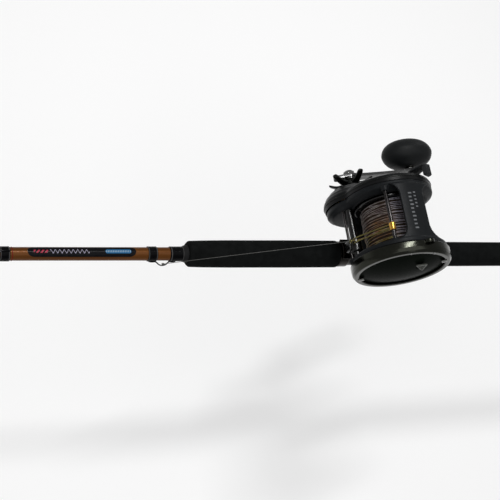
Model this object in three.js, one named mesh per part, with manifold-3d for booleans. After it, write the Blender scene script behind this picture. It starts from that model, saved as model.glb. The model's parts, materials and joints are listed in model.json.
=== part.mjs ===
// Boat rod with a level-wind trolling reel, butt end to tip-top.
// Millimetres, +Z up. The origin is the centre of the butt end face and the rod runs along -X.
// Lengths along the rod are given from the spool axis (X toward the butt) and moved by BUTT at the end.
import * as THREE from "three";
import { mergeVertices } from "three/addons/utils/BufferGeometryUtils.js";
import Module from "manifold-3d";

const wasm = await Module();
wasm.setup();

const BUTT = 372; // spool axis to butt end
const TIP = -1308; // spool axis to the front of the tip-top
const H = 62.5; // spool axis above the rod axis
const FORE = [-191, -32]; // foregrip
const FORE_R = [12.3, 13.4];
const REAR = [64.3, 330]; // rear grip
const REAR_R = 12.8;
const SEAT_R = 11.3;
const RING_R = 46; // near ring of the reel frame
const FAR_R = 44; // far ring
const EAR = [-16, -24, 34.5]; // gear-side ear: x, z from the spool axis, radius
const DRIVE = [-24, -20.5]; // handle axis from the spool axis
const WORM = [-38.2, -11.7];
const PILLAR = [-42.7, -14.7];
const GUIDE_BAR = [-24.2, 35.3];
const FLANGE_R = 33.5;
const LINE_R = 29;
const ARM = 67.4; // handle arm, hub to knob
const ARM_TILT = 7.6; // degrees above the rod
const LEVER = [20, 14]; // free-spool lever pivot
const CARRIAGE_Y = -12;
const MAIN_TEETH = 40;
const PINION_TEETH = 10;
const WIND_TEETH = 24; // level-wind gear on the drive shaft
const WORM_TEETH = 16;
const GUIDES = [[-387, 15, 9.5], [-655, 12.5, 7.5], [-885, 10.5, 6], [-1105, 8.5, 4.8]]; // x, height, ring

const FINE = 0.7; // share of the full segment counts

const group = new THREE.Group();
group.name = "boat_rod_and_reel";
const rad = THREE.MathUtils.degToRad;

const LOOK = {
  blank: [0x8f5527, 0.3, 0.5],
  eva: [0x1d1e20, 0.9, 0],
  rubber: [0x17181a, 0.75, 0],
  plastic: [0x24272a, 0.5, 0],
  charcoal: [0x33373a, 0.45, 0.3],
  gunmetal: [0x6b6c62, 0.3, 0.9],
  steel: [0xb9bcbf, 0.25, 1],
  dark: [0x2b2d30, 0.35, 0.8],
  brass: [0xb98a35, 0.3, 1],
  thread: [0x0d0e10, 0.25, 0],
  ceramic: [0x55585c, 0.2, 0],
  fibre: [0x2a2622, 0.9, 0],
  nylon: [0xd9d6c8, 0.5, 0],
  line: [0xb3a680, 0.4, 0],
};

// Three geometry to a manifold solid, faces turned outward.
function solid(geometry) {
  const bare = geometry.index ? geometry.toNonIndexed() : geometry.clone();
  bare.deleteAttribute("normal");
  bare.deleteAttribute("uv");
  const g = mergeVertices(bare, 1e-4);
  const p = g.attributes.position.array;
  const kept = [];
  let volume = 0;
  for (let i = 0; i < g.index.count; i += 3) {
    const t = [0, 1, 2].map((k) => g.index.array[i + k]);
    if (t[0] === t[1] || t[1] === t[2] || t[2] === t[0]) continue;
    kept.push(...t);
    const [a, b, c] = t.map((k) => new THREE.Vector3(p[3 * k], p[3 * k + 1], p[3 * k + 2]));
    volume += a.dot(b.cross(c));
  }
  if (volume < 0) kept.reverse();
  const triVerts = new Uint32Array(kept);
  return new wasm.Manifold(new wasm.Mesh({ numProp: 3, vertProperties: p, triVerts }));
}

function geometryOf(made) {
  const m = made.getMesh();
  const g = new THREE.BufferGeometry();
  g.setAttribute("position", new THREE.BufferAttribute(new Float32Array(m.vertProperties), 3));
  g.setIndex(new THREE.BufferAttribute(new Uint32Array(m.triVerts), 1));
  return g;
}

const even = (n) => Math.max(8, 2 * Math.round(n * FINE * 0.5));

const join = (...parts) => parts.reduce((a, b) => a.add(b));
const cut = (body, ...tools) => tools.reduce((a, b) => a.subtract(b), body);

function add(name, look, made) {
  const [color, roughness, metalness] = LOOK[look];
  const g = geometryOf(made).toNonIndexed();
  g.translate(-BUTT, 0, 0);
  g.computeVertexNormals();
  const mesh = new THREE.Mesh(g, new THREE.MeshStandardMaterial({ color, roughness, metalness }));
  mesh.name = name;
  group.add(mesh);
}

// Profile of [r, y] turned about an axis along Y through (x, z), measured from the spool axis.
function aboutY(profile, seg = 32, at = [0, 0]) {
  const g = new THREE.LatheGeometry(profile.map(([r, y]) => new THREE.Vector2(r, y)), even(seg));
  return solid(g.translate(at[0], 0, H + at[1]));
}

// Profile of [x, r] turned about the rod axis.
function aboutX(profile, seg = 24) {
  const g = new THREE.LatheGeometry(profile.map(([x, r]) => new THREE.Vector2(r, x)), even(seg));
  return solid(g.rotateZ(-Math.PI / 2));
}

const ring = (r0, r1, y0, y1, seg, at) => aboutY([[r0, y0], [r1, y0], [r1, y1], [r0, y1], [r0, y0]], seg, at);
const rod = (r, y0, y1, seg, at) => aboutY([[0, y0], [r, y0], [r, y1], [0, y1]], seg, at);
const sleeve = (x0, x1, r0, r1, seg) => aboutX([[x0, r0], [x0, r1], [x1, r1], [x1, r0], [x0, r0]], seg);

function box(x0, x1, y0, y1, z0, z1) {
  const g = new THREE.BoxGeometry(x1 - x0, y1 - y0, z1 - z0);
  return solid(g.translate((x0 + x1) / 2, (y0 + y1) / 2, (z0 + z1) / 2));
}

// Shape drawn in X and Z, thickened from y0 to y1.
function plateY(shape, y0, y1, at = [0, 0], curveSegments = 12) {
  const g = new THREE.ExtrudeGeometry(shape, { depth: y1 - y0, bevelEnabled: false, curveSegments });
  return solid(g.rotateX(Math.PI / 2).translate(at[0], y1, H + at[1]));
}

// Loft through loops of equal length, each a convex-ish ring of points, with fans at the ends.
function loft(loops) {
  const n = loops[0].length;
  const pts = loops.flat();
  const tri = [];
  for (let s = 0; s + 1 < loops.length; s++) {
    for (let k = 0; k < n; k++) {
      const a = s * n + k;
      const b = s * n + ((k + 1) % n);
      tri.push(a, b, b + n, a, b + n, a + n);
    }
  }
  for (let k = 1; k + 1 < n; k++) {
    const e = (loops.length - 1) * n;
    tri.push(0, k + 1, k, e, e + k, e + k + 1);
  }
  const g = new THREE.BufferGeometry();
  g.setAttribute("position", new THREE.Float32BufferAttribute(pts.flat(), 3));
  g.setIndex(tri);
  return solid(g);
}

// Curved plate about the spool axis: for each [y, from, to] the arc from..to in degrees, r0..r1 thick.
function bridge(stations, r0, r1, n) {
  const at = (r, deg, y) => [r * Math.cos(rad(deg)), y, H + r * Math.sin(rad(deg))];
  const rows = stations.map(([y, a, b]) => {
    const deg = Array.from({ length: n + 1 }, (_, i) => a + ((b - a) * i) / n);
    return [deg.map((d) => at(r0, d, y)), deg.map((d) => at(r1, d, y))];
  });
  const w = n + 1;
  const id = (s, side, i) => (s * 2 + side) * w + i;
  const tri = [];
  const quad = (a, b, c, d) => tri.push(a, b, c, a, c, d);
  for (let s = 0; s + 1 < rows.length; s++) {
    for (let i = 0; i < n; i++) {
      quad(id(s, 0, i), id(s, 0, i + 1), id(s + 1, 0, i + 1), id(s + 1, 0, i));
      quad(id(s, 1, i), id(s + 1, 1, i), id(s + 1, 1, i + 1), id(s, 1, i + 1));
    }
    quad(id(s, 0, 0), id(s + 1, 0, 0), id(s + 1, 1, 0), id(s, 1, 0));
    quad(id(s, 0, n), id(s, 1, n), id(s + 1, 1, n), id(s + 1, 0, n));
  }
  const e = rows.length - 1;
  for (let i = 0; i < n; i++) {
    quad(id(0, 0, i), id(0, 1, i), id(0, 1, i + 1), id(0, 0, i + 1));
    quad(id(e, 0, i), id(e, 0, i + 1), id(e, 1, i + 1), id(e, 1, i));
  }
  const g = new THREE.BufferGeometry();
  g.setAttribute("position", new THREE.Float32BufferAttribute(rows.flat(2).flat(), 3));
  g.setIndex(tri);
  return solid(g);
}

function circleShape(r, seg) {
  const pts = Array.from({ length: seg }, (_, i) => {
    const a = (2 * Math.PI * i) / seg;
    return new THREE.Vector2(r * Math.cos(a), r * Math.sin(a));
  });
  return new THREE.Shape(pts);
}

function wire(points, r, seg = 6, steps = 8, straight = false) {
  const v = points.map((p) => new THREE.Vector3(...p));
  let path = new THREE.CatmullRomCurve3(v, false, "centripetal");
  if (straight) {
    path = new THREE.CurvePath();
    for (let i = 0; i + 1 < v.length; i++) path.add(new THREE.LineCurve3(v[i], v[i + 1]));
  }
  return solid(new THREE.ExtrudeGeometry(circleShape(r, seg),
    { steps, extrudePath: path, bevelEnabled: false }));
}

// Gear blank with straight-sided teeth, turned by a part of a pitch.
function gear(teeth, rPitch, addendum, dedendum, bore, y0, y1, at, turn = 0, skew = 0) {
  const pts = [];
  const pitch = (2 * Math.PI) / teeth;
  const r0 = rPitch - dedendum;
  const r1 = rPitch + addendum;
  for (let i = 0; i < teeth; i++) {
    for (const [f, r] of [[-0.345, r0], [-0.125 + skew, r1], [0.125 + skew, r1], [0.345, r0]]) {
      const a = (i + f + turn) * pitch;
      pts.push(new THREE.Vector2(r * Math.cos(a), r * Math.sin(a)));
    }
  }
  const shape = new THREE.Shape(pts);
  shape.holes.push(circleShape(bore, 16));
  return plateY(shape, y0, y1, at);
}

const blankR = (x) => {
  const at = [[372, 7.2], [-190, 6.3], [-390, 6], [-1310, 1.9]];
  const i = at.findIndex(([u]) => x >= u);
  const [[x1, r1], [x0, r0]] = [at[Math.max(i, 1) - 1], at[Math.max(i, 1)]];
  return r0 + ((r1 - r0) * (x - x0)) / (x1 - x0);
};

function rodPieces() {
  const bore = (x) => Math.max(0.8, blankR(x) - 2.2);
  const xs = [TIP + 3.5, -1105, -885, -655, -390, -190, 344];
  const outer = xs.map((x) => [x, blankR(x)]);
  const inner = xs.map((x) => [x, bore(x)]).reverse();
  add("blank", "blank", aboutX([...outer, ...inner, outer[0]], 24));
  const f = FORE;
  const g = FORE_R;
  add("foregrip", "eva", aboutX([
    [f[0], 6.8], [f[0], g[0] - 1.8], [f[0] + 0.6, g[0] - 0.6], [f[0] + 2, g[0]], [-176, 12.75], [-148, 13.15],
    [-90, 13.35],
    [f[1] - 1.2, g[1]], [f[1], g[1] - 1.2], [f[1], 6.9], [f[0], 6.8],
  ], 24));
  const r = REAR;
  add("rear_grip", "eva", aboutX([
    [r[0], 7.2], [r[0], REAR_R - 1], [r[0] + 1.2, REAR_R], [r[1] - 1, REAR_R], [r[1], REAR_R - 0.8],
    [r[1], 7.6], [r[0], 7.2],
  ], 24));
  add("butt_cap", "rubber", aboutX([
    [346, 0], [346, 7.7], [r[1] + 0.3, 7.7], [r[1] + 0.3, 12.8], [r[1] + 1.5, 13.5], [BUTT - 3, 14],
    [BUTT, 12], [BUTT, 0],
  ], 24));
}

function wraps() {
  const w = (x0, x1) => aboutX([
    [x0, blankR(x0) + 0.15], [x0, blankR(x0) + 0.5], [x0 + 0.6, blankR(x0) + 0.75],
    [x1 - 0.6, blankR(x1) + 0.75], [x1, blankR(x1) + 0.5], [x1, blankR(x1) + 0.15],
    [x0, blankR(x0) + 0.15],
  ], 24);
  add("front_wrap", "thread", w(-209, -191.3));
  add("keeper_wrap", "thread", w(-231, -221.6));
  const out = (x, r) => [x, -0.925 * r, -0.38 * r];
  const k = [out(-221.1, 6.9), out(-219.5, 8.6), out(-217, 10.4), out(-213.5, 10.4), out(-211, 8.6),
    out(-209.5, 6.9)];
  add("hook_keeper", "steel", wire(k, 0.6, 6, 14));
}

function seatPieces() {
  add("seat_tube", "dark", aboutX([
    [-31.6, 7], [-31.6, SEAT_R], [34, SEAT_R], [35, SEAT_R], [63.9, SEAT_R], [63.9, 7.2], [-31.6, 7],
  ], 24));
  const hump = (x0, x1, r) => bridgeX(x0, x1, SEAT_R + 0.5, r, 50, 130, 8);
  const hoodRing = (x0, x1, r) => sleeve(x0, x1, SEAT_R + 0.3, r, 24);
  const bump = (x0, x1) => cut(join(hoodRing(x0, x1, 12.8), hump(x0, x1, 17)), footRoom(x0 - 1, x1 - 0.6));
  add("front_hood", "dark", cut(join(hoodRing(-31.7, -21.5, 12.6), hump(-31.7, -21.5, 16.6)),
    footRoom(-29.2, -20)));
  add("rear_hood", "dark", join(hoodRing(38.4, 47, 14), bump(31.5, 38.6)));
  const nut = new THREE.Shape(Array.from({ length: 32 }, (_, i) => {
    const a = (2 * Math.PI * i) / 32;
    const r = i % 2 ? 14.1 : 14.9;
    return new THREE.Vector2(r * Math.cos(a), r * Math.sin(a));
  }));
  nut.holes.push(circleShape(SEAT_R + 0.3, 24));
  const g = new THREE.ExtrudeGeometry(nut, { depth: 11.5, bevelEnabled: false });
  add("lock_nut", "dark", solid(g.rotateY(Math.PI / 2).translate(47.3, 0, 0)));
}

// Arc-section bar about the rod axis.
function bridgeX(x0, x1, r0, r1, a, b, n) {
  const ring2 = (x) => {
    const deg = Array.from({ length: n + 1 }, (_, i) => a + ((b - a) * i) / n);
    const p = (r, d) => [x, r * Math.cos(rad(d)), r * Math.sin(rad(d))];
    return [...deg.map((d) => p(r1, d)), ...deg.reverse().map((d) => p(r0, d))];
  };
  const [u, v] = [ring2(x0), ring2(x1)];
  const m = u.length;
  const tri = [];
  for (let k = 0; k < m; k++) {
    const q = (k + 1) % m;
    tri.push(k, q, q + m, k, q + m, k + m);
  }
  for (let i = 0; i < n; i++) {
    const j = m - 1 - i;
    tri.push(i, j, i + 1, i + 1, j, j - 1);
    tri.push(i + m, i + 1 + m, j + m, i + 1 + m, j - 1 + m, j + m);
  }
  const g = new THREE.BufferGeometry();
  g.setAttribute("position", new THREE.Float32BufferAttribute([...u, ...v].flat(), 3));
  g.setIndex(tri);
  return solid(g);
}

const footRoom = (x0, x1) => bridgeX(x0, x1, 9, 14.7, 56, 124, 8);

function reelFoot() {
  const saddle = bridgeX(-21, 28, 11.7, 14.2, 42, 138, 10);
  const tongues = bridgeX(-29, 36.5, 11.7, 14.2, 58, 122, 8);
  const stand = box(-15, 15, -9, 9, 13, 16.4);
  add("reel_foot", "steel", join(saddle, tongues, cut(stand, rodCut())));
}

const rodCut = () => aboutX([[-40, 0], [-40, 12], [60, 12], [60, 0]], 24);

function framePiece() {
  const near = ring(36.5, RING_R, -30, -24.9, 40);
  const lug = rod(5.6, -30, -24.9, 16, WORM);
  const lug2 = rod(3.2, -30, -24.9, 12, PILLAR);
  const cup = join(
    aboutY([[0, 24.9], [38, 24.9], [FAR_R, 28.6], [FAR_R, 33], [0, 33]], 40),
    aboutY([[0, 24.9], [30, 24.9], [EAR[2], 28], [EAR[2], 33], [0, 33]], 40, EAR),
  );
  const well = join(
    aboutY([[0, 27.3], [40.6, 27.3], [40.6, 30.2], [41.5, 30.2], [41.5, 34], [0, 34]], 40),
    aboutY([[0, 27.3], [31.4, 27.3], [31.4, 30.2], [32.9, 30.2], [32.9, 34], [0, 34]], 40, EAR),
  );
  const top = bridge([
    [-25.2, 60, 120], [-21, 69, 115], [-14, 76, 109], [17, 76, 109], [24, 69, 115], [29.2, 60, 120],
  ], 42.2, 45.6, 7);
  const bottom = bridge([[-25.2, -122, -58], [-18, -112, -68], [21, -112, -68], [29.2, -122, -58]],
    42.3, 45.5, 6);
  const cupDone = cut(join(cup, top, bottom), well, rod(34.6, 20, 30, 40));
  const holes = [
    rod(3.9, -31, -24, 16, WORM), rod(3.9, 24, 28, 16, WORM), rod(1.7, -31, -24, 10, PILLAR),
    rod(1.7, 24, 28, 10, PILLAR), rod(2.15, -31, -24, 10, GUIDE_BAR), rod(2.15, 24, 28, 10, GUIDE_BAR),
  ];
  const room = ring(30, 36.5, -31, -24, 40);
  const front = cut(join(near, cut(join(lug, lug2), room)), ...holes.filter((_, i) => i % 2 === 0));
  add("frame", "charcoal", join(front, cut(cupDone, holes[1], holes[3], holes[5])));
}

// Bar running out from the spool axis at 60 degrees above the horizontal.
function radial(r0, r1, y0, y1, half) {
  const g = new THREE.BoxGeometry(r1 - r0, y1 - y0, 2 * half);
  return solid(g.translate((r0 + r1) / 2, (y0 + y1) / 2, 0).rotateY(rad(-60)).translate(0, 0, H));
}

function sidePlates() {
  const trim = aboutY([
    [41.3, -40.8], [42, -41.9], [45.6, -41.9], [47.3, -39.6], [47.8, -36.8], [47.8, -31.2], [47, -30.3],
    [40, -30.3], [40, -33.1], [41.3, -33.1], [41.3, -40.8],
  ], 40);
  const tab = (deg) => {
    const g = new THREE.BoxGeometry(5.4, 1.7, 7);
    g.translate(40.3, -41.6, 0);
    return solid(g.rotateY(rad(-deg)).translate(0, 0, H));
  };
  const lug = cut(rod(4.8, -33.8, -30.6, 18, [3.3, 47.6]), rod(46, -35, -29, 40));
  add("left_ring", "gunmetal", cut(join(trim, tab(36), tab(-142), lug), rod(1.5, -35, -29, 12, [3.3, 50])));
  const dome = aboutY([
    [0, -45.9], [10, -45.5], [20, -44.3], [30, -42.3], [36.5, -40.4], [40.9, -39.6], [40.9, -33.5],
    [37.5, -33.5], [36, -37.6], [30, -39.7], [20, -41.8], [9, -43.1], [9, -34.3], [6.2, -34.3], [6.2, -38.2],
    [0, -38.2],
  ], 40);
  add("left_plate", "plastic", cut(dome, radial(14.4, 22.2, -48, -35, 1.9)));
  const bridgePlate = join(rod(40.3, 27.7, 29.7, 40), rod(31.1, 27.7, 29.7, 40, EAR));
  add("bridge_plate", "steel", cut(bridgePlate, rod(4.9, 27, 31, 16), rod(3.4, 27, 31, 16, DRIVE),
    rod(2.4, 27, 31, 12, WORM)));
  rightPlate();
}

// Dome of the gear housing, leaning toward the handle axis.
function lean(profile, seg) {
  const g = new THREE.LatheGeometry(profile.map(([r, y]) => new THREE.Vector2(r, y)), even(seg));
  const m = new THREE.Matrix4().set(1, -0.29, 0, 8.4, 0, 1, 0, 0, 0, 0.09, 1, -2.6, 0, 0, 0, 1);
  return solid(g.applyMatrix4(m).translate(EAR[0], 0, H + EAR[1]));
}

function rightPlate() {
  const a = aboutY([[0, 33.3], [44, 33.3], [44, 38.5], [40, 42], [28, 44.8], [0, 47]], 40);
  const b = lean([[0, 33.3], [34.5, 33.3], [34, 39], [30, 44.3], [24, 49], [14, 51.9], [0, 52.3]], 40);
  const a2 = aboutY([[0, 33], [41.5, 33], [41.5, 37.8], [37.8, 40.2], [26, 42.6], [0, 43.6]], 40);
  const b2 = lean([[0, 33], [33.2, 33], [32.8, 39], [32.2, 39.9], [27.6, 43.9], [21, 47.6], [12, 49.8],
    [0, 50]], 40);
  const boss = rod(11.5, 43.2, 51, 24);
  const shell = cut(join(a, b, rod(10.8, 46, 49, 24)), cut(join(a2, b2), boss));
  add("right_plate", "charcoal", cut(shell, rod(11.2, 49, 60, 24), rod(6.2, 40, 46.7, 16),
    rod(5.6, 46, 50, 16),
    rod(6.7, 45, 60, 20, DRIVE), rod(2, 38, 50, 12, LEVER)));
}

function spoolPieces() {
  const F = FLANGE_R;
  add("spool", "gunmetal", aboutY([
    [2.8, -24.4], [F, -24.4], [F, -22.9], [12, -22.3], [12, 22.3], [F, 22.9], [F, 24.4], [2.8, 24.4],
      [2.8, -24.4],
  ], 40));
  add("line_pack", "line", aboutY([
    [12.3, -22], [LINE_R - 1.5, -22], [LINE_R, -19], [LINE_R + 0.5, 0], [LINE_R, 19], [LINE_R - 1.5, 22],
    [12.3, 22], [12.3, -22],
  ], 36));
  add("spool_shaft", "steel", rod(2.5, -37.8, 45.8, 16));
  add("bearing_left", "steel", ring(2.8, 5.9, -37.9, -34.5, 20));
  add("bearing_right", "steel", ring(2.8, 5.9, 43.4, 46.4, 20));
  add("clicker_gear", "brass", gear(12, 7.8, 1, 1.2, 2.8, -33.2, -31.9));
  const p = Math.hypot(...DRIVE);
  const rp = (p * PINION_TEETH) / (MAIN_TEETH + PINION_TEETH);
  const toMain = Math.atan2(DRIVE[1], DRIVE[0]) / ((2 * Math.PI) / PINION_TEETH);
  const body = ring(2.8, 4.4, 30.3, 40.2, 16);
  const teeth = gear(PINION_TEETH, rp, 0.9, 1.1, 3.5, 34, 40.2, [0, 0], toMain);
  add("pinion", "brass", join(body, teeth, ring(3.5, 6, 30.3, 31.6, 16)));
  const yoke = new THREE.Shape([
    [-3, -19], [3, -19], [4, -9], [9, -6], [9, 6], [4, 9], [3, 19], [-3, 19], [-4, 9], [-7.5, 6],
      [-7.5, -6], [-4, -9],
  ].map(([x, z]) => new THREE.Vector2(x, z)));
  yoke.holes.push(circleShape(4.8, 16));
  add("pinion_yoke", "nylon", plateY(yoke, 32.1, 33.2));
}

function drivePieces() {
  const at = DRIVE;
  const centre = Math.hypot(...DRIVE);
  const rm = (centre * MAIN_TEETH) / (MAIN_TEETH + PINION_TEETH);
  const pitch = (2 * Math.PI) / MAIN_TEETH;
  const toPinion = Math.atan2(-DRIVE[1], -DRIVE[0]) / pitch + 0.5;
  const wormDist = Math.hypot(WORM[0] - DRIVE[0], WORM[1] - DRIVE[1]);
  const aim = Math.atan2(WORM[1] - DRIVE[1], WORM[0] - DRIVE[0]);
  add("drive_shaft", "steel", aboutY([[0, 28], [3.1, 28], [3.1, 30.4], [7.5, 30.4], [7.5, 31.8],
    [4, 31.8], [4, 43.6],
    [3.2, 43.6], [3.2, 69.6], [0, 69.6]], 20, at));
  add("levelwind_gear", "nylon", gear(WIND_TEETH, (wormDist * 24) / 40, 0.5, 0.7, 4.3, 32.2, 34, at,
    aim / ((2 * Math.PI) / WIND_TEETH)));
  const back = (aim + Math.PI) / ((2 * Math.PI) / WORM_TEETH) + 0.5;
  add("worm_shaft", "steel", join(rod(2, -29.6, 35.4, 12, WORM), rod(2.6, -23, 23, 12, WORM)));
  add("worm_gear", "nylon", gear(WORM_TEETH, (wormDist * 16) / 40, 0.5, 0.7, 2.3, 32.2, 34, WORM, back));
  add("ratchet", "steel", gear(12, 10.6, 1, 1.2, 4.3, 34.3, 35.6, at, 0, 0.12));
  const main = gear(MAIN_TEETH, rm, 0.7, 1, 4.4, 36, 39.6, at, toPinion);
  add("main_gear", "brass", cut(main, rod(15.5, 38.2, 41, 24, at)));
  add("drag_washer", "fibre", ring(4.4, 15, 38.5, 39.7, 20, at));
  add("spring_washer", "steel", aboutY([[4.4, 41.2], [13, 40], [13, 41.2], [4.4, 42.4], [4.4, 41.2]],
    20, at));
  dogPiece();
  starPiece();
}

function dogPiece() {
  const dog = new THREE.Shape([[-3, -1.5], [0, -3.4], [3, -2], [3.2, 1.5], [1, 3.2], [-6.5, 5.8],
    [-7.6, 4.6], [-3.2, 1.5]]
    .map(([x, z]) => new THREE.Vector2(x, z)));
  add("dog", "steel", join(plateY(dog, 34.4, 35.5, [-10.6, -36]), rod(1.8, 30.1, 35.5, 12, [-10.6, -36])));
}

function starPiece() {
  const hub = aboutY([[3.5, 44], [6.3, 44], [6.3, 54.2], [8.6, 54.2], [9.2, 55.6], [9.2, 59], [7, 61.3],
    [3.5, 61.3],
    [3.5, 44]], 20, DRIVE);
  const arm = (deg) => {
    const c = Math.cos(rad(deg));
    const s = Math.sin(rad(deg));
    const row = (r, y0, y1, w) => [[-w, y0], [w, y0], [w, y1], [-w, y1]].map(([u, y]) =>
      [DRIVE[0] + r * c - u * s, y, H + DRIVE[1] + r * s + u * c]);
    return loft([row(7, 55.2, 58.6, 4.6), row(12, 55.8, 58.6, 3.4), row(17.4, 58.6, 61, 3.2),
      row(22.2, 61.8, 63.8, 3.1)]);
  };
  add("star_drag", "dark", join(hub, ...[0, 1, 2, 3, 4].map((k) => arm(89 + 72 * k))));
}

function handlePieces() {
  const t = rad(ARM_TILT);
  const end = [DRIVE[0] + ARM * Math.cos(t), DRIVE[1] + ARM * Math.sin(t)];
  const outline = new THREE.Shape();
  outline.absarc(0, 0, 8, rad(50), rad(112), false);
  outline.lineTo(-12, 4.9);
  outline.absarc(-12, 0, 4.9, Math.PI / 2, 1.5 * Math.PI, false);
  outline.absarc(0, 0, 8, rad(248), rad(310), false);
  outline.quadraticCurveTo(12, -5, ARM - 9, -4.4);
  outline.lineTo(ARM, -5.6);
  outline.absarc(ARM, 0, 5.6, -Math.PI / 2, Math.PI / 2, false);
  outline.lineTo(ARM - 9, 4.4);
  outline.quadraticCurveTo(12, 5, 8 * Math.cos(rad(50)), 8 * Math.sin(rad(50)));
  const slot = [[-14, -1.7], [-7.6, -1.7], [-7.6, 1.7], [-14, 1.7]].map(([x, z]) => new THREE.Vector2(x, z));
  outline.holes.push(new THREE.Path(slot));
  const g = new THREE.ExtrudeGeometry(outline, { depth: 3, bevelEnabled: false, curveSegments: 8 });
  g.rotateX(Math.PI / 2).translate(0, 66.4, 0);
  const crank = new THREE.Matrix4().set(1, 0, 0, 0, 0.062, 1, 0, 0, 0, 0, 1, 0, 0, 0, 0, 1);
  g.applyMatrix4(crank).rotateY(-t).translate(DRIVE[0], 0, H + DRIVE[1]);
  add("handle_arm", "steel", cut(join(solid(g), rod(6.4, 61.7, 64.6, 16, DRIVE)), rod(3.5, 60, 74, 16, DRIVE),
    rod(2.5, 60, 80, 12, end)));
  add("handle_nut", "steel", aboutY([[0, 70.3], [3.5, 70.3], [3.5, 67.1], [6, 67.1], [6, 70.5],
    [4.6, 72], [0, 72]], 12, DRIVE));
  add("knob_spindle", "steel", aboutY([[0, 67.2], [2.2, 67.2], [2.2, 71.7], [4.3, 71.7], [4.3, 72.4],
    [2.2, 72.4],
    [2.2, 96], [0, 96]], 16, end));
  const oval = [[0, 72.7], [5, 72.7], [6, 73.5], [10.5, 74.4], [16, 75.9], [21.8, 79], [25.4, 83.4],
    [26.6, 88],
    [24.9, 93.6], [20.2, 98.6], [12.7, 101.8], [5.3, 102.8], [0, 102.9]];
  const k = new THREE.LatheGeometry(oval.map(([r, y]) => new THREE.Vector2(r, y)), even(30));
  k.scale(1, 1, 0.76).rotateY(-t).translate(end[0], 0, H + end[1]);
  add("knob", "rubber", cut(solid(k), rod(2.6, 70, 96.4, 12, end)));
}

function leverPieces() {
  const bar = new THREE.Shape([[-5, -5], [3, -6], [6, 0], [5.5, 20], [6.5, 30], [-3, 32], [-8.5, 18],
    [-6.5, 2]]
    .map(([x, z]) => new THREE.Vector2(x, z)));
  const arm = plateY(bar, 47.4, 49.6, LEVER);
  const pad = new THREE.BoxGeometry(4.2, 10.6, 9.4);
  pad.translate(48, 43.1, 0);
  const padSolid = solid(pad.rotateY(rad(-63)).translate(0, 0, H));
  add("freespool_lever", "plastic", join(arm, padSolid, rod(1.7, 38.6, 48, 12, LEVER)));
  const cam = new THREE.Shape([[-5, 4], [-14, -3], [-13, -7], [-4, -4], [4, -4], [5, 0], [3, 4]]
    .map(([x, z]) => new THREE.Vector2(x, z)));
  cam.holes.push(circleShape(2, 12));
  add("lever_cam", "steel", plateY(cam, 40.4, 41.4, LEVER));
}

function levelWind() {
  const tube = ring(2.9, 3.6, -29.6, 26.9, 20, WORM);
  const slot = box(WORM[0] - 1, WORM[0] + 1, -19.5, 19.5, H + WORM[1] - 5, H + WORM[1]);
  add("worm_tube", "steel", cut(tube, slot));
  add("front_pillar", "steel", rod(1.4, -29.7, 27.1, 10, PILLAR));
  add("guide_bar", "steel", rod(1.85, -29.7, 27.1, 12, GUIDE_BAR));
  const [wx, wz] = WORM;
  const y = CARRIAGE_Y;
  const block = join(rod(6, y - 6.5, y + 6.5, 16, WORM),
    box(wx - 8, wx - 1, y - 5, y + 5, H + wz - 6.4, H + wz + 2));
  const loop = [-1.9, 1.9].map((d) => wire([
    [wx - 4, y + 2 + d, H + wz + 3], [wx - 4.6, y + 2 + d, H + wz + 9], [-36, y + 0.8 + d, H + 16],
    [GUIDE_BAR[0] - 2.4, y + d, H + GUIDE_BAR[1] - 3.1],
  ], 0.65, 6, 8));
  const room = [rod(3.9, y - 8, y + 8, 16, WORM), rod(1.7, y - 8, y + 8, 10, PILLAR)];
  add("carriage", "charcoal", cut(join(block, ...loop), ...room, rod(3.2, y - 4, y + 4, 12, GUIDE_BAR)));
  add("guide_sleeve", "brass", ring(2.15, 2.95, y - 3.6, y + 3.6, 14, GUIDE_BAR));
  const cap = new THREE.CylinderGeometry(2.6, 2.6, 3, 12);
  cap.rotateX(Math.PI / 2).translate(wx, y, H + wz - 8.1);
  add("pawl_cap", "steel", solid(cap));
}

function clickerPieces() {
  const shape = new THREE.Shape([[0.6, 21.6], [1.1, 23.6], [9.4, 26.6], [10.9, 25.4], [15, 11.2], [13.8, 10]]
    .map(([x, z]) => new THREE.Vector2(x, z)));
  const button = plateY(shape, -46.7, -45.4, [0, 0]);
  const stem = radial(18.8, 21.8, -46, -31.9, 1.4);
  const pawl = radial(13, 21.8, -33.2, -31.9, 1.4);
  add("clicker_button", "plastic", join(button, stem, pawl));
  add("tension_cap", "dark", aboutY([[0, 47], [5.2, 47], [5.2, 49.3], [9.6, 49.3], [9.6, 53.4],
    [8.6, 54.2], [0, 54.2]], 20));
}

function guidePieces() {
  GUIDES.forEach(([x, h, r], i) => {
    const z = blankR(x) + h;
    const hoop = new THREE.TorusGeometry(r + 1, 0.6, 5, 14).rotateY(Math.PI / 2).translate(x, 0, z);
    const b = blankR(x);
    const span = 9 + h * 0.75;
    const leg = (s) => wire([
      [x, s * (r + 1), z - 1], [x + span * 0.5, s * r * 0.6, z - h * 0.45], [x + span, s * 0.9, b + 1.1],
    ], 0.6, 5, 3);
    const front = wire([
      [x, 0, z - r - 1.1], [x - span * 0.45, 0, b + (h - r) * 0.45 + 1], [x - span, 0, b + 1.1],
    ], 0.6, 5, 3);
    const foot = (x0, x1) => box(x0, x1, -1.5, 1.5, b + 0.35, b + 1.7);
    const sock = (x0, x1) => sleeve(x0, x1, Math.max(blankR(x0), blankR(x1)) + 0.15, b + 1, 24);
    const a = span - 1.5;
    const c = span + 9;
    const made = join(solid(hoop), leg(1), leg(-1), front, foot(x + a, x + c), foot(x - c, x - a),
      sock(x + span + 1, x + c + 1), sock(x - c - 1, x - span - 1));
    add("guide_" + (i + 1), "dark", made);
    add("guide_ring_" + (i + 1), "ceramic", solid(new THREE.TorusGeometry(r - 0.65, 0.6, 5, 14)
      .rotateY(Math.PI / 2).translate(x, 0, z)));
  });
}

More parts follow.
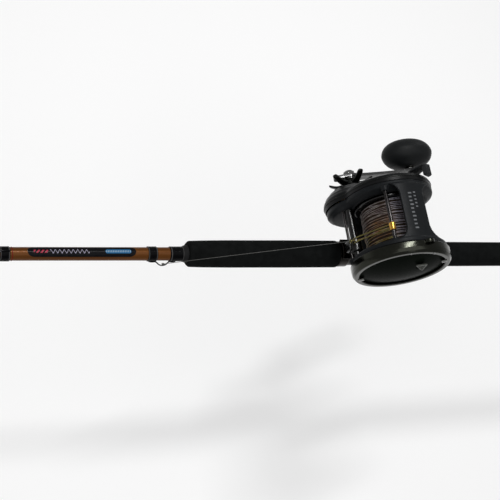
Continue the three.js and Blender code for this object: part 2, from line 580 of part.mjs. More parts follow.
function tipTop() {
  const b = blankR(TIP + 4) + 0.25;
  const tube = aboutX([[TIP + 1.5, 0], [TIP + 1.5, b + 0.7], [TIP + 16, b + 0.8], [TIP + 16, b],
    [TIP + 3, b], [TIP + 3, 0]], 14);
  const hoop = new THREE.TorusGeometry(5.5, 0.6, 5, 14).rotateY(Math.PI / 2).translate(TIP + 2, 0, 8.6);
  const brace = (s) => wire([[TIP + 2, s * 4.6, 5.6], [TIP + 7, s * 2.6, 4.2],
    [TIP + 13, s * 1.4, 2.5]], 0.6, 5, 4);
  const post = box(TIP + 1.5, TIP + 3.4, -1, 1, 1.5, 3.9);
  add("tip_top", "dark", join(tube, solid(hoop), brace(1), brace(-1), post));
  add("tip_ring", "ceramic", solid(new THREE.TorusGeometry(3.9, 0.6, 5,
    14).rotateY(Math.PI / 2).translate(TIP + 2, 0, 8.6)));
}

function lineOut() {
  const pts = [[-46.6, -10, H - 5.6], [-118, -9.9, 32.6], [-190.4, -9.9, 8.5], [-193.5, -9.9, 7.2],
    [-214.2, -8.7, -3.5]];
  add("fishing_line", "line", wire(pts, 0.3, 8, 16, true));
}

rodPieces();
wraps();
seatPieces();
reelFoot();
framePiece();
sidePlates();
spoolPieces();
drivePieces();
handlePieces();
leverPieces();
levelWind();
clickerPieces();
guidePieces();
tipTop();
lineOut();

export default group;
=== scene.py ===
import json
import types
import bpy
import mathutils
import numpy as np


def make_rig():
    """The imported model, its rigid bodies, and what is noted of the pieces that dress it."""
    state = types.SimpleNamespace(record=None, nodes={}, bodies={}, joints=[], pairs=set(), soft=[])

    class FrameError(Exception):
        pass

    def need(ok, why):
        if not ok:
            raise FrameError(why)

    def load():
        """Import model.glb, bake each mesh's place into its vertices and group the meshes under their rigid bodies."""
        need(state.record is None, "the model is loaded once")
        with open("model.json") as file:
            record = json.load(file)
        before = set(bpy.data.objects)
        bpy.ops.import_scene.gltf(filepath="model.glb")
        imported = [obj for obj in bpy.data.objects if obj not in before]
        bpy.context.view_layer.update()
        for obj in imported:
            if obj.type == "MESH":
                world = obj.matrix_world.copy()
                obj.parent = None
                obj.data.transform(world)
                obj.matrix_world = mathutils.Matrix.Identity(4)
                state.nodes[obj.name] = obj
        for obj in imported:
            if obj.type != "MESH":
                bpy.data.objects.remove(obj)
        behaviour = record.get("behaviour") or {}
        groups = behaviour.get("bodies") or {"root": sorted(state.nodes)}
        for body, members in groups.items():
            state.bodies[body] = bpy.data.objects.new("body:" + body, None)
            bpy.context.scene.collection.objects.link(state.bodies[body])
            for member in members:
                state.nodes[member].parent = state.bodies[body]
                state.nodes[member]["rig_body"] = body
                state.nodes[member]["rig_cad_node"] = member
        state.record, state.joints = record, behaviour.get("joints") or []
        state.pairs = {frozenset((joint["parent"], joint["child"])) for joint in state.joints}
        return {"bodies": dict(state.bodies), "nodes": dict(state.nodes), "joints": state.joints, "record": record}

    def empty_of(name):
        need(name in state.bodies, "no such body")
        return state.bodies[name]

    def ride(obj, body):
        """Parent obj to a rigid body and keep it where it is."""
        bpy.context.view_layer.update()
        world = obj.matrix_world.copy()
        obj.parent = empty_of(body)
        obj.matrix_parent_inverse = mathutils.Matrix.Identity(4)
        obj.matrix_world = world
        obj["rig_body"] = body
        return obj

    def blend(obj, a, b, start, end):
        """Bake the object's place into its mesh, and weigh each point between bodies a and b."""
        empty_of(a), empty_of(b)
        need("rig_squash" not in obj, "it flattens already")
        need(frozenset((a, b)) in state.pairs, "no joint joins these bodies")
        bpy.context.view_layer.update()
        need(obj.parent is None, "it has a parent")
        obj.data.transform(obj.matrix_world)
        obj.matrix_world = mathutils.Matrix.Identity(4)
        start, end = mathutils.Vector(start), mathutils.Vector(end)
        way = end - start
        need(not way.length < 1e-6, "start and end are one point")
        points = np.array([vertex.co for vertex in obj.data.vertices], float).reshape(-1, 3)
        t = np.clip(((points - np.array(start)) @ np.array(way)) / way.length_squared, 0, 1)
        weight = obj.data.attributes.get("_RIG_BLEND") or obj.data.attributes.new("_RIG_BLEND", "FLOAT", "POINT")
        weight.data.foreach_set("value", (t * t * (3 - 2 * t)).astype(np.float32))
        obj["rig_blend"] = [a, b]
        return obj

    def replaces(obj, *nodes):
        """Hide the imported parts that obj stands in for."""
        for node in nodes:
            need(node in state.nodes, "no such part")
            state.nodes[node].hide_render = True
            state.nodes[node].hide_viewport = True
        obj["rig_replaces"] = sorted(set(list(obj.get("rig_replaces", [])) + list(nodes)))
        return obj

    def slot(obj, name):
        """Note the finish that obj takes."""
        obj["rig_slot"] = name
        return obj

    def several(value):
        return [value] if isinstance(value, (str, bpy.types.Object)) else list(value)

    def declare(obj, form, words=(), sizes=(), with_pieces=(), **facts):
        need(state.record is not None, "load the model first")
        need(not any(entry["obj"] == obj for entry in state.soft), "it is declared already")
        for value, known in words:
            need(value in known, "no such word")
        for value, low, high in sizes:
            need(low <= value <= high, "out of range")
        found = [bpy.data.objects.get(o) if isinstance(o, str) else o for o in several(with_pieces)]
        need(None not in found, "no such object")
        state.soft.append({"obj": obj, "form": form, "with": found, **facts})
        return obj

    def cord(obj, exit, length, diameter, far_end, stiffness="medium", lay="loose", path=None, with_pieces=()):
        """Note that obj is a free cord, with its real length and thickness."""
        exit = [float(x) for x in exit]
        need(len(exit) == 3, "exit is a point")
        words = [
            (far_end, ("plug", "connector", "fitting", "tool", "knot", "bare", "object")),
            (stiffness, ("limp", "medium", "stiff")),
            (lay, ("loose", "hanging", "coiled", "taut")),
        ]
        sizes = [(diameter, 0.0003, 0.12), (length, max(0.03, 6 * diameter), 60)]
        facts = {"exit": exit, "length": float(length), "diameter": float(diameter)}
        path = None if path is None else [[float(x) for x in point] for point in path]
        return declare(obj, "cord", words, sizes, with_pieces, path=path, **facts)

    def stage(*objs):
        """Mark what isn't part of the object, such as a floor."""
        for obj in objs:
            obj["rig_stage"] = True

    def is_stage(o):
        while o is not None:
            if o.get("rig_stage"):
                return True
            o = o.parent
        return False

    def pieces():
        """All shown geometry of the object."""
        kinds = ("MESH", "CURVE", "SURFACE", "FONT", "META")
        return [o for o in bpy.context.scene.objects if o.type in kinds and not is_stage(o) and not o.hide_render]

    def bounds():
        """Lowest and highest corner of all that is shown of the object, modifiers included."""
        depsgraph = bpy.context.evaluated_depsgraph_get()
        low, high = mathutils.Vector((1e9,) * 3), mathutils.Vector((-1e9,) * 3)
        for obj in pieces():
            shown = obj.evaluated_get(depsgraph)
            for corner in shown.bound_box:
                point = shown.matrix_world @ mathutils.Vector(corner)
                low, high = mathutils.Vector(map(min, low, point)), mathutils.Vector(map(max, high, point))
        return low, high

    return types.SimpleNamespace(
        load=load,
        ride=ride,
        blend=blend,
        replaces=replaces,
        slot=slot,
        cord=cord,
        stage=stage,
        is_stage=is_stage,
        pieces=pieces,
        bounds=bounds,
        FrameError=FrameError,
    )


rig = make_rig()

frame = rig.load()
CAD_BOX = [list(v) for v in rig.bounds()]

import json
import math
from math import cos, radians, sin
import bmesh
import bpy
from mathutils import Matrix, Vector
from mathutils.geometry import tessellate_polygon

# Sizes in millimetres. X is counted from the spool axis toward the butt, Y toward the crank, Z up.
# Points go to metres in the row frame through at(): the butt end face is BUTT behind the spool axis.
BUTT = 372.0
TIP = -1308.0
H = 62.5
DRIVE = (-24.0, -20.5)
WORM = (-38.2, -11.7)
PILLAR = (-42.7, -14.7)
BAR = (-24.2, 35.3)
EAR = (-16.0, -24.0)
EAR_R = 34.5
LEVER = (20.0, 14.0)
TILT = radians(7.6)
ARM = 67.4
END = (DRIVE[0] + ARM * cos(TILT), DRIVE[1] + ARM * sin(TILT))
CARR = -12.0
GUIDES = [(-387, 15, 9.5), (-655, 12.5, 7.5), (-885, 10.5, 6), (-1105, 8.5, 4.8)]
THREAD = 0.28  # width of one turn of the winding thread
TAU = 2 * math.pi


def at(x, y, z):
    return Vector(((x - BUTT) / 1000, y / 1000, z / 1000))


def blank_r(x):
    pts = [(372, 7.2), (-190, 6.3), (-390, 6), (-1310, 1.9)]
    for (x1, r1), (x0, r0) in zip(pts, pts[1:]):
        if x >= x0:
            return r0 + (r1 - r0) * (x - x0) / (x1 - x0)
    return 1.9


# ---------------------------------------------------------------- camera

AZIMUTH, ELEVATION, ROLL = radians(-49.8), radians(57.6), radians(45.1)
LENS = 75.33
DISTANCE = 1.0
AIM = (-129.9, 0, 10.05)


def make_camera():
    az, el, roll = AZIMUTH, ELEVATION, ROLL
    back = Vector((sin(az) * cos(el), -cos(az) * cos(el), sin(el)))
    right = (-back).cross(Vector((0, 0, 1))).normalized()
    up = right.cross(-back)
    r2 = right * cos(roll) + up * sin(roll)
    u2 = up * cos(roll) - right * sin(roll)
    cam = bpy.data.objects.new("camera", bpy.data.cameras.new("camera"))
    bpy.context.scene.collection.objects.link(cam)
    rot = Matrix((r2, u2, back)).transposed().to_4x4()
    cam.matrix_world = Matrix.Translation(at(*AIM) + back * DISTANCE) @ rot
    cam.data.sensor_width = 36
    cam.data.lens = LENS
    cam.data.clip_start = 0.01
    cam.data.clip_end = 50
    bpy.context.scene.camera = cam


make_camera()


# ---------------------------------------------------------------- mesh helpers

def new_object(name, mesh):
    o = bpy.data.objects.new(name, mesh)
    bpy.context.scene.collection.objects.link(o)
    return o


def build(name, verts, faces, sharp=35):
    me = bpy.data.meshes.new(name)
    me.from_pydata([tuple(v) for v in verts], [], faces)
    me.validate()
    bm = bmesh.new()
    bm.from_mesh(me)
    bmesh.ops.remove_doubles(bm, verts=bm.verts, dist=1e-7)
    bmesh.ops.recalc_face_normals(bm, faces=bm.faces)
    bm.to_mesh(me)
    bm.free()
    o = new_object(name, me)
    soften(o, sharp)
    return o


def tube_faces(rows, seg, closed=False):
    """Quads between rows of seg points, capped at both ends unless the tube closes on itself."""
    faces = []
    for i in range(rows if closed else rows - 1):
        j = (i + 1) % rows
        for k in range(seg):
            m = (k + 1) % seg
            faces.append((i * seg + k, i * seg + m, j * seg + m, j * seg + k))
    if not closed:
        faces.append(tuple(range(seg)))
        faces.append(tuple((rows - 1) * seg + k for k in reversed(range(seg))))
    return faces


def sheet(name, layers, sharp):
    """A closed sheet between two grids of points, each a list of rows."""
    rows, cols = len(layers[0]), len(layers[0][0])
    top = rows * cols
    faces = []
    for i in range(rows - 1):
        for k in range(cols - 1):
            p = i * cols + k
            faces.append((p, p + cols, p + cols + 1, p + 1))
            faces.append((top + p, top + p + 1, top + p + cols + 1, top + p + cols))
    long_sides = [(i * cols + k, cols) for i in range(rows - 1) for k in (0, cols - 1)]
    short_sides = [(i * cols + k, 1) for i in (0, rows - 1) for k in range(cols - 1)]
    for p, step in long_sides + short_sides:
        faces.append((p, p + step, top + p + step, top + p))
    return build(name, [v for grid in layers for row in grid for v in row], faces, sharp)


def soften(o, sharp=35):
    o.data.shade_smooth()
    o.data.set_sharp_from_angle(angle=radians(sharp))


def round_corners(pts, closed=False, steps=5):
    """Corners given as (a, b, r) become arcs of about radius r."""
    n = len(pts)
    out = []
    for i, p in enumerate(pts):
        r = p[2] if len(p) > 2 else 0
        if r <= 0 or (not closed and i in (0, n - 1)):
            out.append((p[0], p[1]))
            continue
        c = Vector(p[:2])
        a = Vector(pts[i - 1][:2]) - c
        b = Vector(pts[(i + 1) % n][:2]) - c
        la, lb = a.length, b.length
        ang = a.angle(b)
        d = min(r / math.tan(ang / 2), la * 0.49, lb * 0.49)
        q0, q1 = c + a / la * d, c + b / lb * d
        for k in range(steps + 1):
            t = k / steps
            q = q0 * (1 - t) ** 2 + c * 2 * t * (1 - t) + q1 * t ** 2
            out.append((q.x, q.y))
    return out


def lathe(name, prof, axis="Y", seg=96, c=(0, 0), closed=True, sharp=35, arc=None):
    """prof is (r, along, fillet); axis Y turns about the reel's line through c, X about the rod."""
    pts = round_corners(prof, closed)
    n = len(pts)
    a0, a1 = arc or (0, TAU)
    whole = arc is None
    rows = seg if whole else seg + 1
    verts, faces = [], []
    for k in range(rows):
        t = a0 + (a1 - a0) * k / seg
        for r, s in pts:
            r = max(r, 0)
            if axis == "Y":
                verts.append(at(c[0] + r * cos(t), s, H + c[1] + r * sin(t)))
            else:
                verts.append(at(s, c[0] + r * cos(t), c[1] + r * sin(t)))
    for k in range(seg):
        q = (k + 1) % rows
        for i in range(n if closed else n - 1):
            j = (i + 1) % n
            faces.append((k * n + i, k * n + j, q * n + j, q * n + i))
    if not whole and closed:
        faces.append(tuple(range(n)))
        faces.append(tuple(reversed(range(seg * n, seg * n + n))))
    return build(name, verts, faces, sharp)


def catmull(pts, per=8):
    p = [Vector(v) for v in pts]
    p = [p[0] * 2 - p[1], *p, p[-1] * 2 - p[-2]]
    out = []
    for i in range(1, len(p) - 2):
        for k in range(per):
            t = k / per
            out.append(0.5 * ((2 * p[i]) + (p[i + 1] - p[i - 1]) * t
                       + (2 * p[i - 1] - 5 * p[i] + 4 * p[i + 1] - p[i + 2]) * t * t
                       + (3 * p[i] - p[i - 1] - 3 * p[i + 1] + p[i + 2]) * t ** 3))
    out.append(p[-2])
    return out


def sweep(name, pts, radius, seg=12, closed=False, flat=1.0, sharp=50):
    """Tube along points in reel millimetres; radius is a number or a function of 0..1."""
    p = [Vector(v) for v in pts]
    n = len(p)
    tang = []
    for i in range(n):
        a = p[i - 1] if (i > 0 or closed) else p[i]
        b = p[(i + 1) % n] if (i < n - 1 or closed) else p[i]
        tang.append((b - a).normalized())
    ref = Vector((0, 1, 0)) if abs(tang[0].y) < 0.8 else Vector((0, 0, 1))
    u = tang[0].cross(ref).normalized()
    verts = []
    for i in range(n):
        if i:
            u = (u - tang[i] * u.dot(tang[i])).normalized()
        v = tang[i].cross(u)
        r = radius(i / (n - 1)) if callable(radius) else radius
        for k in range(seg):
            t = TAU * k / seg
            q = p[i] + u * (r * cos(t)) + v * (r * flat * sin(t))
            verts.append(at(*q))
    return build(name, verts, tube_faces(n, seg, closed), sharp)


def bevel_edges(o, bm, edges, width, segs, profile, sharp):
    bmesh.ops.bevel(bm, geom=edges, offset=width / 1000, segments=segs, profile=profile, affect="EDGES",
        clamp_overlap=True)
    bm.to_mesh(o.data)
    bm.free()
    soften(o, sharp)


def plate(name, outline, t0, t1, axis="Y", c=(0, 0), holes=(), bevel=0.3, segs=2):
    """Flat outline with holes, thickened from t0 to t1 along the axis, edges rounded."""
    loops = [list(outline), *[list(h) for h in holes]]
    flat = [Vector((a, b, 0)) for loop in loops for a, b in loop]
    tris = tessellate_polygon([[Vector((a, b, 0)) for a, b in loop] for loop in loops])
    n = len(flat)

    def put(v, t):
        if axis == "Y":
            return at(c[0] + v.x, t, H + c[1] + v.y)
        if axis == "X":
            return at(t, c[0] + v.x, c[1] + v.y)
        return at(c[0] + v.x, c[1] + v.y, t)

    verts = [put(v, t0) for v in flat] + [put(v, t1) for v in flat]
    faces = [tuple(t) for t in tris] + [tuple(i + n for i in reversed(t)) for t in tris]
    start = 0
    for loop in loops:
        m = len(loop)
        for i in range(m):
            a, b = start + i, start + (i + 1) % m
            faces.append((a, b, b + n, a + n))
        start += m
    o = build(name, verts, faces)
    if bevel:
        bm = bmesh.new()
        bm.from_mesh(o.data)
        bmesh.ops.recalc_face_normals(bm, faces=bm.faces)
        flat_edges = [e for e in bm.edges if len(e.link_faces) == 2
                      and e.calc_face_angle(0) < radians(3)]
        bmesh.ops.dissolve_edges(bm, edges=flat_edges, use_verts=False)
        edges = [e for e in bm.edges if len(e.link_faces) == 2 and e.calc_face_angle(0) > radians(40)]
        bevel_edges(o, bm, edges, bevel, segs, 0.6, 35)
    return o


def circle(r, n=48, c=(0, 0)):
    return [(c[0] + r * cos(TAU * k / n), c[1] + r * sin(TAU * k / n)) for k in range(n)]


def arc(r, a, b, n, c=(0, 0)):
    """Points on a circle from a to b degrees."""
    turns = [radians(a + (b - a) * k / n) for k in range(n + 1)]
    return [(c[0] + r * cos(t), c[1] + r * sin(t)) for t in turns]


def knurl(r, depth, n):
    """A round outline with n grip waves, six points to a wave."""
    turns = [TAU * k / (n * 6) for k in range(n * 6)]
    return [((r + depth * cos(n * t)) * cos(t),
        (r + depth * cos(n * t)) * sin(t)) for t in turns]


def join(name, *objs):
    """Objects into one mesh object; materials are kept."""
    bpy.context.view_layer.update()
    for o in bpy.context.selected_objects:
        o.select_set(False)
    for o in objs:
        o.select_set(True)
    bpy.context.view_layer.objects.active = objs[0]
    if len(objs) > 1:
        bpy.ops.object.join()
    o = bpy.context.view_layer.objects.active
    o.name = name
    o.data.name = name
    o.select_set(False)
    return o


def modify(o, kind, **settings):
    m = o.modifiers.new(kind, kind)
    for k, v in settings.items():
        setattr(m, k, v)
    dg = bpy.context.evaluated_depsgraph_get()
    me = bpy.data.meshes.new_from_object(o.evaluated_get(dg), preserve_all_data_layers=True, depsgraph=dg)
    o.modifiers.clear()
    o.data = me
    return o


def cut(o, tool):
    """Takes the tool's shape out of the piece and removes the tool."""
    modify(o, "BOOLEAN", object=tool, operation="DIFFERENCE", solver="EXACT")
    bpy.data.objects.remove(tool)
    return o


def bore(o, r, y0, y1, n, c=(0, 0)):
    """Cuts a round hole along Y through c."""
    cut(o, plate("bore", circle(r, n, c), y0, y1, bevel=0))


def box(name, x0, x1, y0, y1, z0, z1, bevel=0.4, segs=3):
    verts = [at(x, y, z) for x in (x0, x1) for y in (y0, y1) for z in (z0, z1)]
    faces = [(0, 1, 3, 2), (4, 6, 7, 5), (0, 4, 5, 1), (2, 3, 7, 6), (0, 2, 6, 4), (1, 5, 7, 3)]
    o = build(name, verts, faces, 35)
    if bevel:
        bm = bmesh.new()
        bm.from_mesh(o.data)
        bevel_edges(o, bm, bm.edges[:], bevel, segs, 0.5, 60)
    return o


def turn_y(o, deg):
    """Turns a piece about the spool axis, positive from +X toward +Z."""
    p = at(0, 0, H)
    rot = Matrix.Translation(p) @ Matrix.Rotation(-radians(deg), 4, "Y") @ Matrix.Translation(-p)
    o.data.transform(rot)
    return o


def done(o, body, slot_name, look, *nodes):
    o.data.materials.clear()
    o.data.materials.append(M[look])
    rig.ride(o, body)
    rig.slot(o, slot_name)
    if nodes:
        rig.replaces(o, *nodes)
    return o


# ---------------------------------------------------------------- materials

class Mat:
    """A node material on object coordinates, which are row-frame metres."""

    def __init__(self, name, color, rough, metal=0.0, **sockets):
        self.m = bpy.data.materials.new(name)
        self.m.use_nodes = True
        self.t = self.m.node_tree
        self.b = self.t.nodes["Principled BSDF"]
        self.b.inputs["Base Color"].default_value = (*color, 1)
        self.b.inputs["Roughness"].default_value = rough
        self.b.inputs["Metallic"].default_value = metal
        for k, v in sockets.items():
            self.b.inputs[k.replace("_", " ")].default_value = v
        self.coord = self.t.nodes.new("ShaderNodeTexCoord").outputs["Object"]
        self.height = None
        self.m.diffuse_color = (*color, 1)

    def link(self, a, b):
        self.t.links.new(a, b)

    def node(self, kind, **props):
        n = self.t.nodes.new(kind)
        for k, v in props.items():
            setattr(n, k, v)
        return n

    def stretched(self, *scale):
        n = self.node("ShaderNodeMapping")
        n.inputs["Scale"].default_value = scale
        self.link(self.coord, n.inputs["Vector"])
        return n.outputs["Vector"]

    def noise(self, scale, detail=3, vec=None, distort=0.0):
        n = self.node("ShaderNodeTexNoise")
        n.inputs["Scale"].default_value = scale
        n.inputs["Detail"].default_value = detail
        n.inputs["Roughness"].default_value = 0.55
        n.inputs["Distortion"].default_value = distort
        self.link(vec if vec is not None else self.coord, n.inputs["Vector"])
        return n.outputs["Fac"]

    def cells(self, scale):
        n = self.node("ShaderNodeTexVoronoi")
        n.inputs["Scale"].default_value = scale
        self.link(self.coord, n.inputs["Vector"])
        return n.outputs["Distance"]

    def math(self, op, a, b=0.0):
        n = self.node("ShaderNodeMath", operation=op)
        for i, v in enumerate((a, b)):
            if isinstance(v, (int, float)):
                n.inputs[i].default_value = v
            else:
                self.link(v, n.inputs[i])
        return n.outputs[0]

    def add(self, a, b):
        return self.math("ADD", a, b)

    def mul(self, a, b):
        return self.math("MULTIPLY", a, b)

    def axes(self):
        n = self.node("ShaderNodeSeparateXYZ")
        self.link(self.coord, n.inputs[0])
        return n.outputs

    def ramp(self, fac, stops):
        n = self.node("ShaderNodeValToRGB")
        els = n.color_ramp.elements
        while len(els) < len(stops):
            els.new(0.5)
        for e, (p, col) in zip(els, stops):
            e.position = p
            e.color = (*col, 1)
        self.link(fac, n.inputs["Fac"])
        return n.outputs["Color"]

    def mix(self, fac, a, b):
        n = self.node("ShaderNodeMix", data_type="RGBA")
        for sock, v in ((n.inputs[0], fac), (n.inputs[6], a), (n.inputs[7], b)):
            if isinstance(v, (int, float)):
                sock.default_value = v
            elif isinstance(v, tuple):
                sock.default_value = (*v, 1)
            else:
                self.link(v, sock)
        return n.outputs[2]

    def span(self, value, lo, hi):
        """1 inside lo..hi, 0 outside."""
        a = self.math("GREATER_THAN", value, lo)
        b = self.math("LESS_THAN", value, hi)
        return self.mul(a, b)

    def color(self, socket):
        self.link(socket, self.b.inputs["Base Color"])

    def vary(self, color, amount, scale):
        """Base colour drifting darker and lighter by amount."""
        lo = tuple(max(0, c * (1 - amount)) for c in color)
        hi = tuple(min(1, c * (1 + amount)) for c in color)
        self.color(self.ramp(self.noise(scale, 4), [(0.3, lo), (0.7, hi)]))
        return self

    def rough(self, lo, hi, scale):
        n = self.node("ShaderNodeMapRange")
        n.inputs["From Min"].default_value = 0.3
        n.inputs["From Max"].default_value = 0.7
        n.inputs["To Min"].default_value = lo
        n.inputs["To Max"].default_value = hi
        self.link(self.noise(scale, 4), n.inputs["Value"])
        self.link(n.outputs[0], self.b.inputs["Roughness"])
        return self

    def bump(self, height, mm, strength=1.0):
        n = self.node("ShaderNodeBump")
        n.inputs["Strength"].default_value = strength
        n.inputs["Distance"].default_value = mm / 1000
        self.link(height, n.inputs["Height"])
        if self.height is not None:
            self.link(self.height, n.inputs["Normal"])
        self.height = n.outputs["Normal"]
        self.link(self.height, self.b.inputs["Normal"])
        return self


def metal(name, color, rough, scratch=0.02, spread=0.1):
    m = Mat(name, color, rough, 1.0)
    m.vary(color, spread, 260)
    m.rough(rough * 0.8, rough * 1.3, 700)
    m.bump(m.noise(3500, 2, vec=m.stretched(1, 0.12, 1)), scratch, 0.5)
    return m.m


def plastic(name, color, rough, grain=0.02, metal_part=0.0, shine=0.12):
    m = Mat(name, color, rough, metal_part, Specular_IOR_Level=shine)
    m.vary(color, 0.12, 180)
    m.rough(rough * 0.85, min(1, rough * 1.15), 500)
    m.bump(m.noise(5200, 2), grain, 0.6)
    return m.m


def foam(name, color):
    m = Mat(name, color, 0.9, 0.0, Specular_IOR_Level=0.03)
    a = m.noise(140, 5)
    m.color(m.ramp(a, [(0.3, tuple(c * 0.7 for c in color)), (0.55, color),
        (0.75, tuple(c * 1.35 for c in color))]))
    m.bump(m.cells(1500), 0.05, 0.6)
    m.bump(m.noise(420, 4), 0.10, 0.5)
    return m.m


def thread(name, color):
    m = Mat(name, color, 0.22, 0.0, Specular_IOR_Level=0.03, Coat_Weight=0.03, Coat_Roughness=0.08)
    x = m.axes()[0]
    ridge = m.math("SINE", m.mul(x, TAU * 1000 / THREAD))
    # painted shade: the colour darkens to half in the grooves between turns
    m.color(m.mix(m.mul(m.add(ridge, 1), 0.5), tuple(c * 0.5 for c in color), color))
    m.bump(ridge, 0.035, 0.5)
    return m.m


def blank_material():
    m = Mat("blank_lacquer", (0.1, 0.035, 0.008), 0.3, 0.3, Specular_IOR_Level=0.08, Coat_Weight=0.05,
        Coat_Roughness=0.05)
    flake = m.noise(2600, 2)
    slow = m.noise(60, 3, vec=m.stretched(0.2, 1, 1))
    base = m.ramp(slow, [(0.3, (0.058, 0.017, 0.0025)), (0.7, (0.09, 0.029, 0.0045))])
    m.color(m.mix(m.mul(flake, 0.3), base, (0.2, 0.08, 0.02)))
    m.bump(m.noise(900, 2, vec=m.stretched(0.15, 1, 1)), 0.01, 0.4)
    return m.m


def label_material():
    """Black varnish label with plain marks: a red stroke group, a pale wavy stroke, a blue pill."""
    m = Mat("label_varnish", (0.012, 0.012, 0.014), 0.22, 0.0, Specular_IOR_Level=0.03, Coat_Weight=0.02,
        Coat_Roughness=0.08)
    x, y, z = m.axes()
    u = m.add(m.mul(x, 1000), BUTT)
    ang = m.math("ARCTAN2", z, y)
    v = m.mul(m.math("SUBTRACT", ang, radians(90)), 6.1)
    black = m.ramp(m.noise(300, 3), [(0.3, (0.003, 0.003, 0.004)), (0.7, (0.007, 0.007, 0.008))])
    wave = m.math("SINE", m.mul(u, 1.55))
    off = m.math("ABSOLUTE", m.math("SUBTRACT", v, m.mul(wave, 1.5)))
    script = m.mul(m.math("LESS_THAN", off, 0.42), m.span(u, -321.7, -286))
    saw = m.math("PINGPONG", m.add(u, m.mul(v, 0.8)), 1.9)
    red = m.mul(m.math("GREATER_THAN", saw, 0.9), m.span(u, -336.4, -323.6))
    red = m.mul(red, m.span(v, -1.4, 1.4))
    du = m.math("MAXIMUM", m.math("SUBTRACT", m.math("ABSOLUTE", m.add(u, 259.2)), 10.3), 0)
    pill = m.math("LESS_THAN", m.math("SQRT", m.add(m.mul(du, du), m.mul(v, v))), 1.9)
    inner = m.math("LESS_THAN", m.math("PINGPONG", u, 0.8), 0.34)
    inner = m.mul(m.mul(inner, pill), m.span(v, -0.9, 0.9))
    c = m.mix(red, black, (0.32, 0.035, 0.06))
    c = m.mix(script, c, (0.3, 0.28, 0.36))
    c = m.mix(pill, c, (0.015, 0.1, 0.22))
    c = m.mix(inner, c, (0.25, 0.33, 0.4))
    m.color(c)
    m.bump(m.noise(700, 2), 0.008, 0.4)
    return m.m


def line_material():
    m = Mat("wound_line", (0.2, 0.16, 0.1), 0.38, 0.0)
    x, y, z = m.axes()
    w = m.noise(30, 3, vec=m.stretched(1, 2.2, 1), distort=0.6)
    t = m.add(m.mul(y, 14.0), m.mul(w, 0.95))
    c = m.ramp(t, [(0.04, (0.24, 0.22, 0.03)), (0.2, (0.19, 0.15, 0.025)), (0.36, (0.15, 0.065, 0.02)),
        (0.55, (0.11, 0.075, 0.065)), (0.72, (0.12, 0.09, 0.09)), (0.9, (0.17, 0.16, 0.17))])
    glint = m.noise(420, 2, vec=m.stretched(0.5, 3.2, 0.5))
    c = m.mix(m.ramp(glint, [(0.5, (0, 0, 0)), (0.68, (0.7, 0.7, 0.7))]), c, (0.32, 0.3, 0.26))
    # painted light: the line turns paler toward the butt side of the pack, which the frame leaves lit; the front stays
    # darker as painted shade
    lit_rear = m.mul(m.add(x, (BUTT + 19) / 1000), 90)
    c = m.mix(m.ramp(lit_rear, [(0.0, (0, 0, 0)), (0.8, (0.75, 0.75, 0.75))]), c, (0.3, 0.3, 0.36))
    m.color(c)
    m.bump(m.noise(3000, 2), 0.03, 0.4)
    return m.m


def clear_line_material():
    color = (0.07, 0.07, 0.065)
    m = Mat("line_nylon", color, 0.3, 0.0, Specular_IOR_Level=0.2)
    m.vary(color, 0.2, 400)
    m.bump(m.noise(4000, 1), 0.01, 0.3)
    return m.m


M = {
    "blank": blank_material(),
    "label": label_material(),
    "foam": foam("grip_foam", (0.0055, 0.006, 0.006)),
    "rubber": plastic("knob_rubber", (0.0075, 0.0083, 0.0087), 0.48, 0.03, 0.0, 0.1),
    "butt": plastic("butt_rubber", (0.008, 0.008, 0.0085), 0.7, 0.06),
    "thread": thread("thread_black", (0.002, 0.002, 0.0025)),
    "silver_thread": thread("thread_silver", (0.07, 0.07, 0.07)),
    "red_thread": thread("thread_red", (0.2, 0.01, 0.012)),
    "frame": plastic("frame_graphite", (0.0072, 0.0082, 0.0092), 0.4, 0.025, 0.1, 0.1),
    "plate": plastic("side_plate", (0.005, 0.0053, 0.0056), 0.32, 0.02, 0.1),
    "cover": plastic("cover_lacquer", (0.003, 0.0043, 0.003), 0.3, 0.01, 0.0, 0.004),
    "gunmetal": metal("gunmetal", (0.026, 0.027, 0.022), 0.17),
    "spool": metal("spool_metal", (0.05, 0.05, 0.05), 0.26),
    "steel": metal("bright_steel", (0.034, 0.034, 0.034), 0.22),
    "chrome": metal("polished_metal", (0.2, 0.2, 0.197), 0.14, 0.008, 0.05),
    "arm": metal("arm_steel", (0.1, 0.1, 0.1), 0.2, 0.012),
    "wire": metal("guide_wire", (0.16, 0.14, 0.05), 0.25, 0.01),
    "bar": metal("bar_steel", (0.032, 0.03, 0.03), 0.2, 0.01),
    "dark_metal": metal("dark_metal", (0.02, 0.019, 0.018), 0.22, 0.015),
    "hood": metal("hood_metal", (0.03, 0.027, 0.025), 0.16, 0.01),
    "star": metal("star_metal", (0.02, 0.021, 0.02), 0.26),
    "brass": metal("brass", (0.5, 0.27, 0.05), 0.24),
    "guide": metal("guide_metal", (0.05, 0.05, 0.053), 0.25),
    "ceramic": plastic("ceramic", (0.09, 0.092, 0.096), 0.12, 0.004),
    "fibre": plastic("drag_fibre", (0.02, 0.017, 0.015), 0.8, 0.08),
    "nylon": plastic("gear_nylon", (0.5, 0.48, 0.42), 0.45, 0.02),
    "line": line_material(),
    "clear_line": clear_line_material(),
    # painted shade: the line pack's core is dark so that the gaps between the strands look shaded
    "shaded_core": plastic("shaded_line_core", (0.02, 0.011, 0.006), 0.6, 0.08),
    "print": plastic("pale_print", (0.11, 0.115, 0.12), 0.5, 0.006),
    "lever": plastic("lever_plastic", (0.014, 0.015, 0.016), 0.4, 0.03),
    "slider": plastic("slider_plastic", (0.06, 0.063, 0.055), 0.35, 0.02, 0.1),
}


# ---------------------------------------------------------------- cord: carriage to keeper

LINE_ROUTE = [(-46.6, -10, H - 5.6), (-118, -9.9, 32.6), (-190.4, -9.9, 8.5), (-193.5, -9.9, 7.2),
    (-214.2, -8.7, -3.5)]


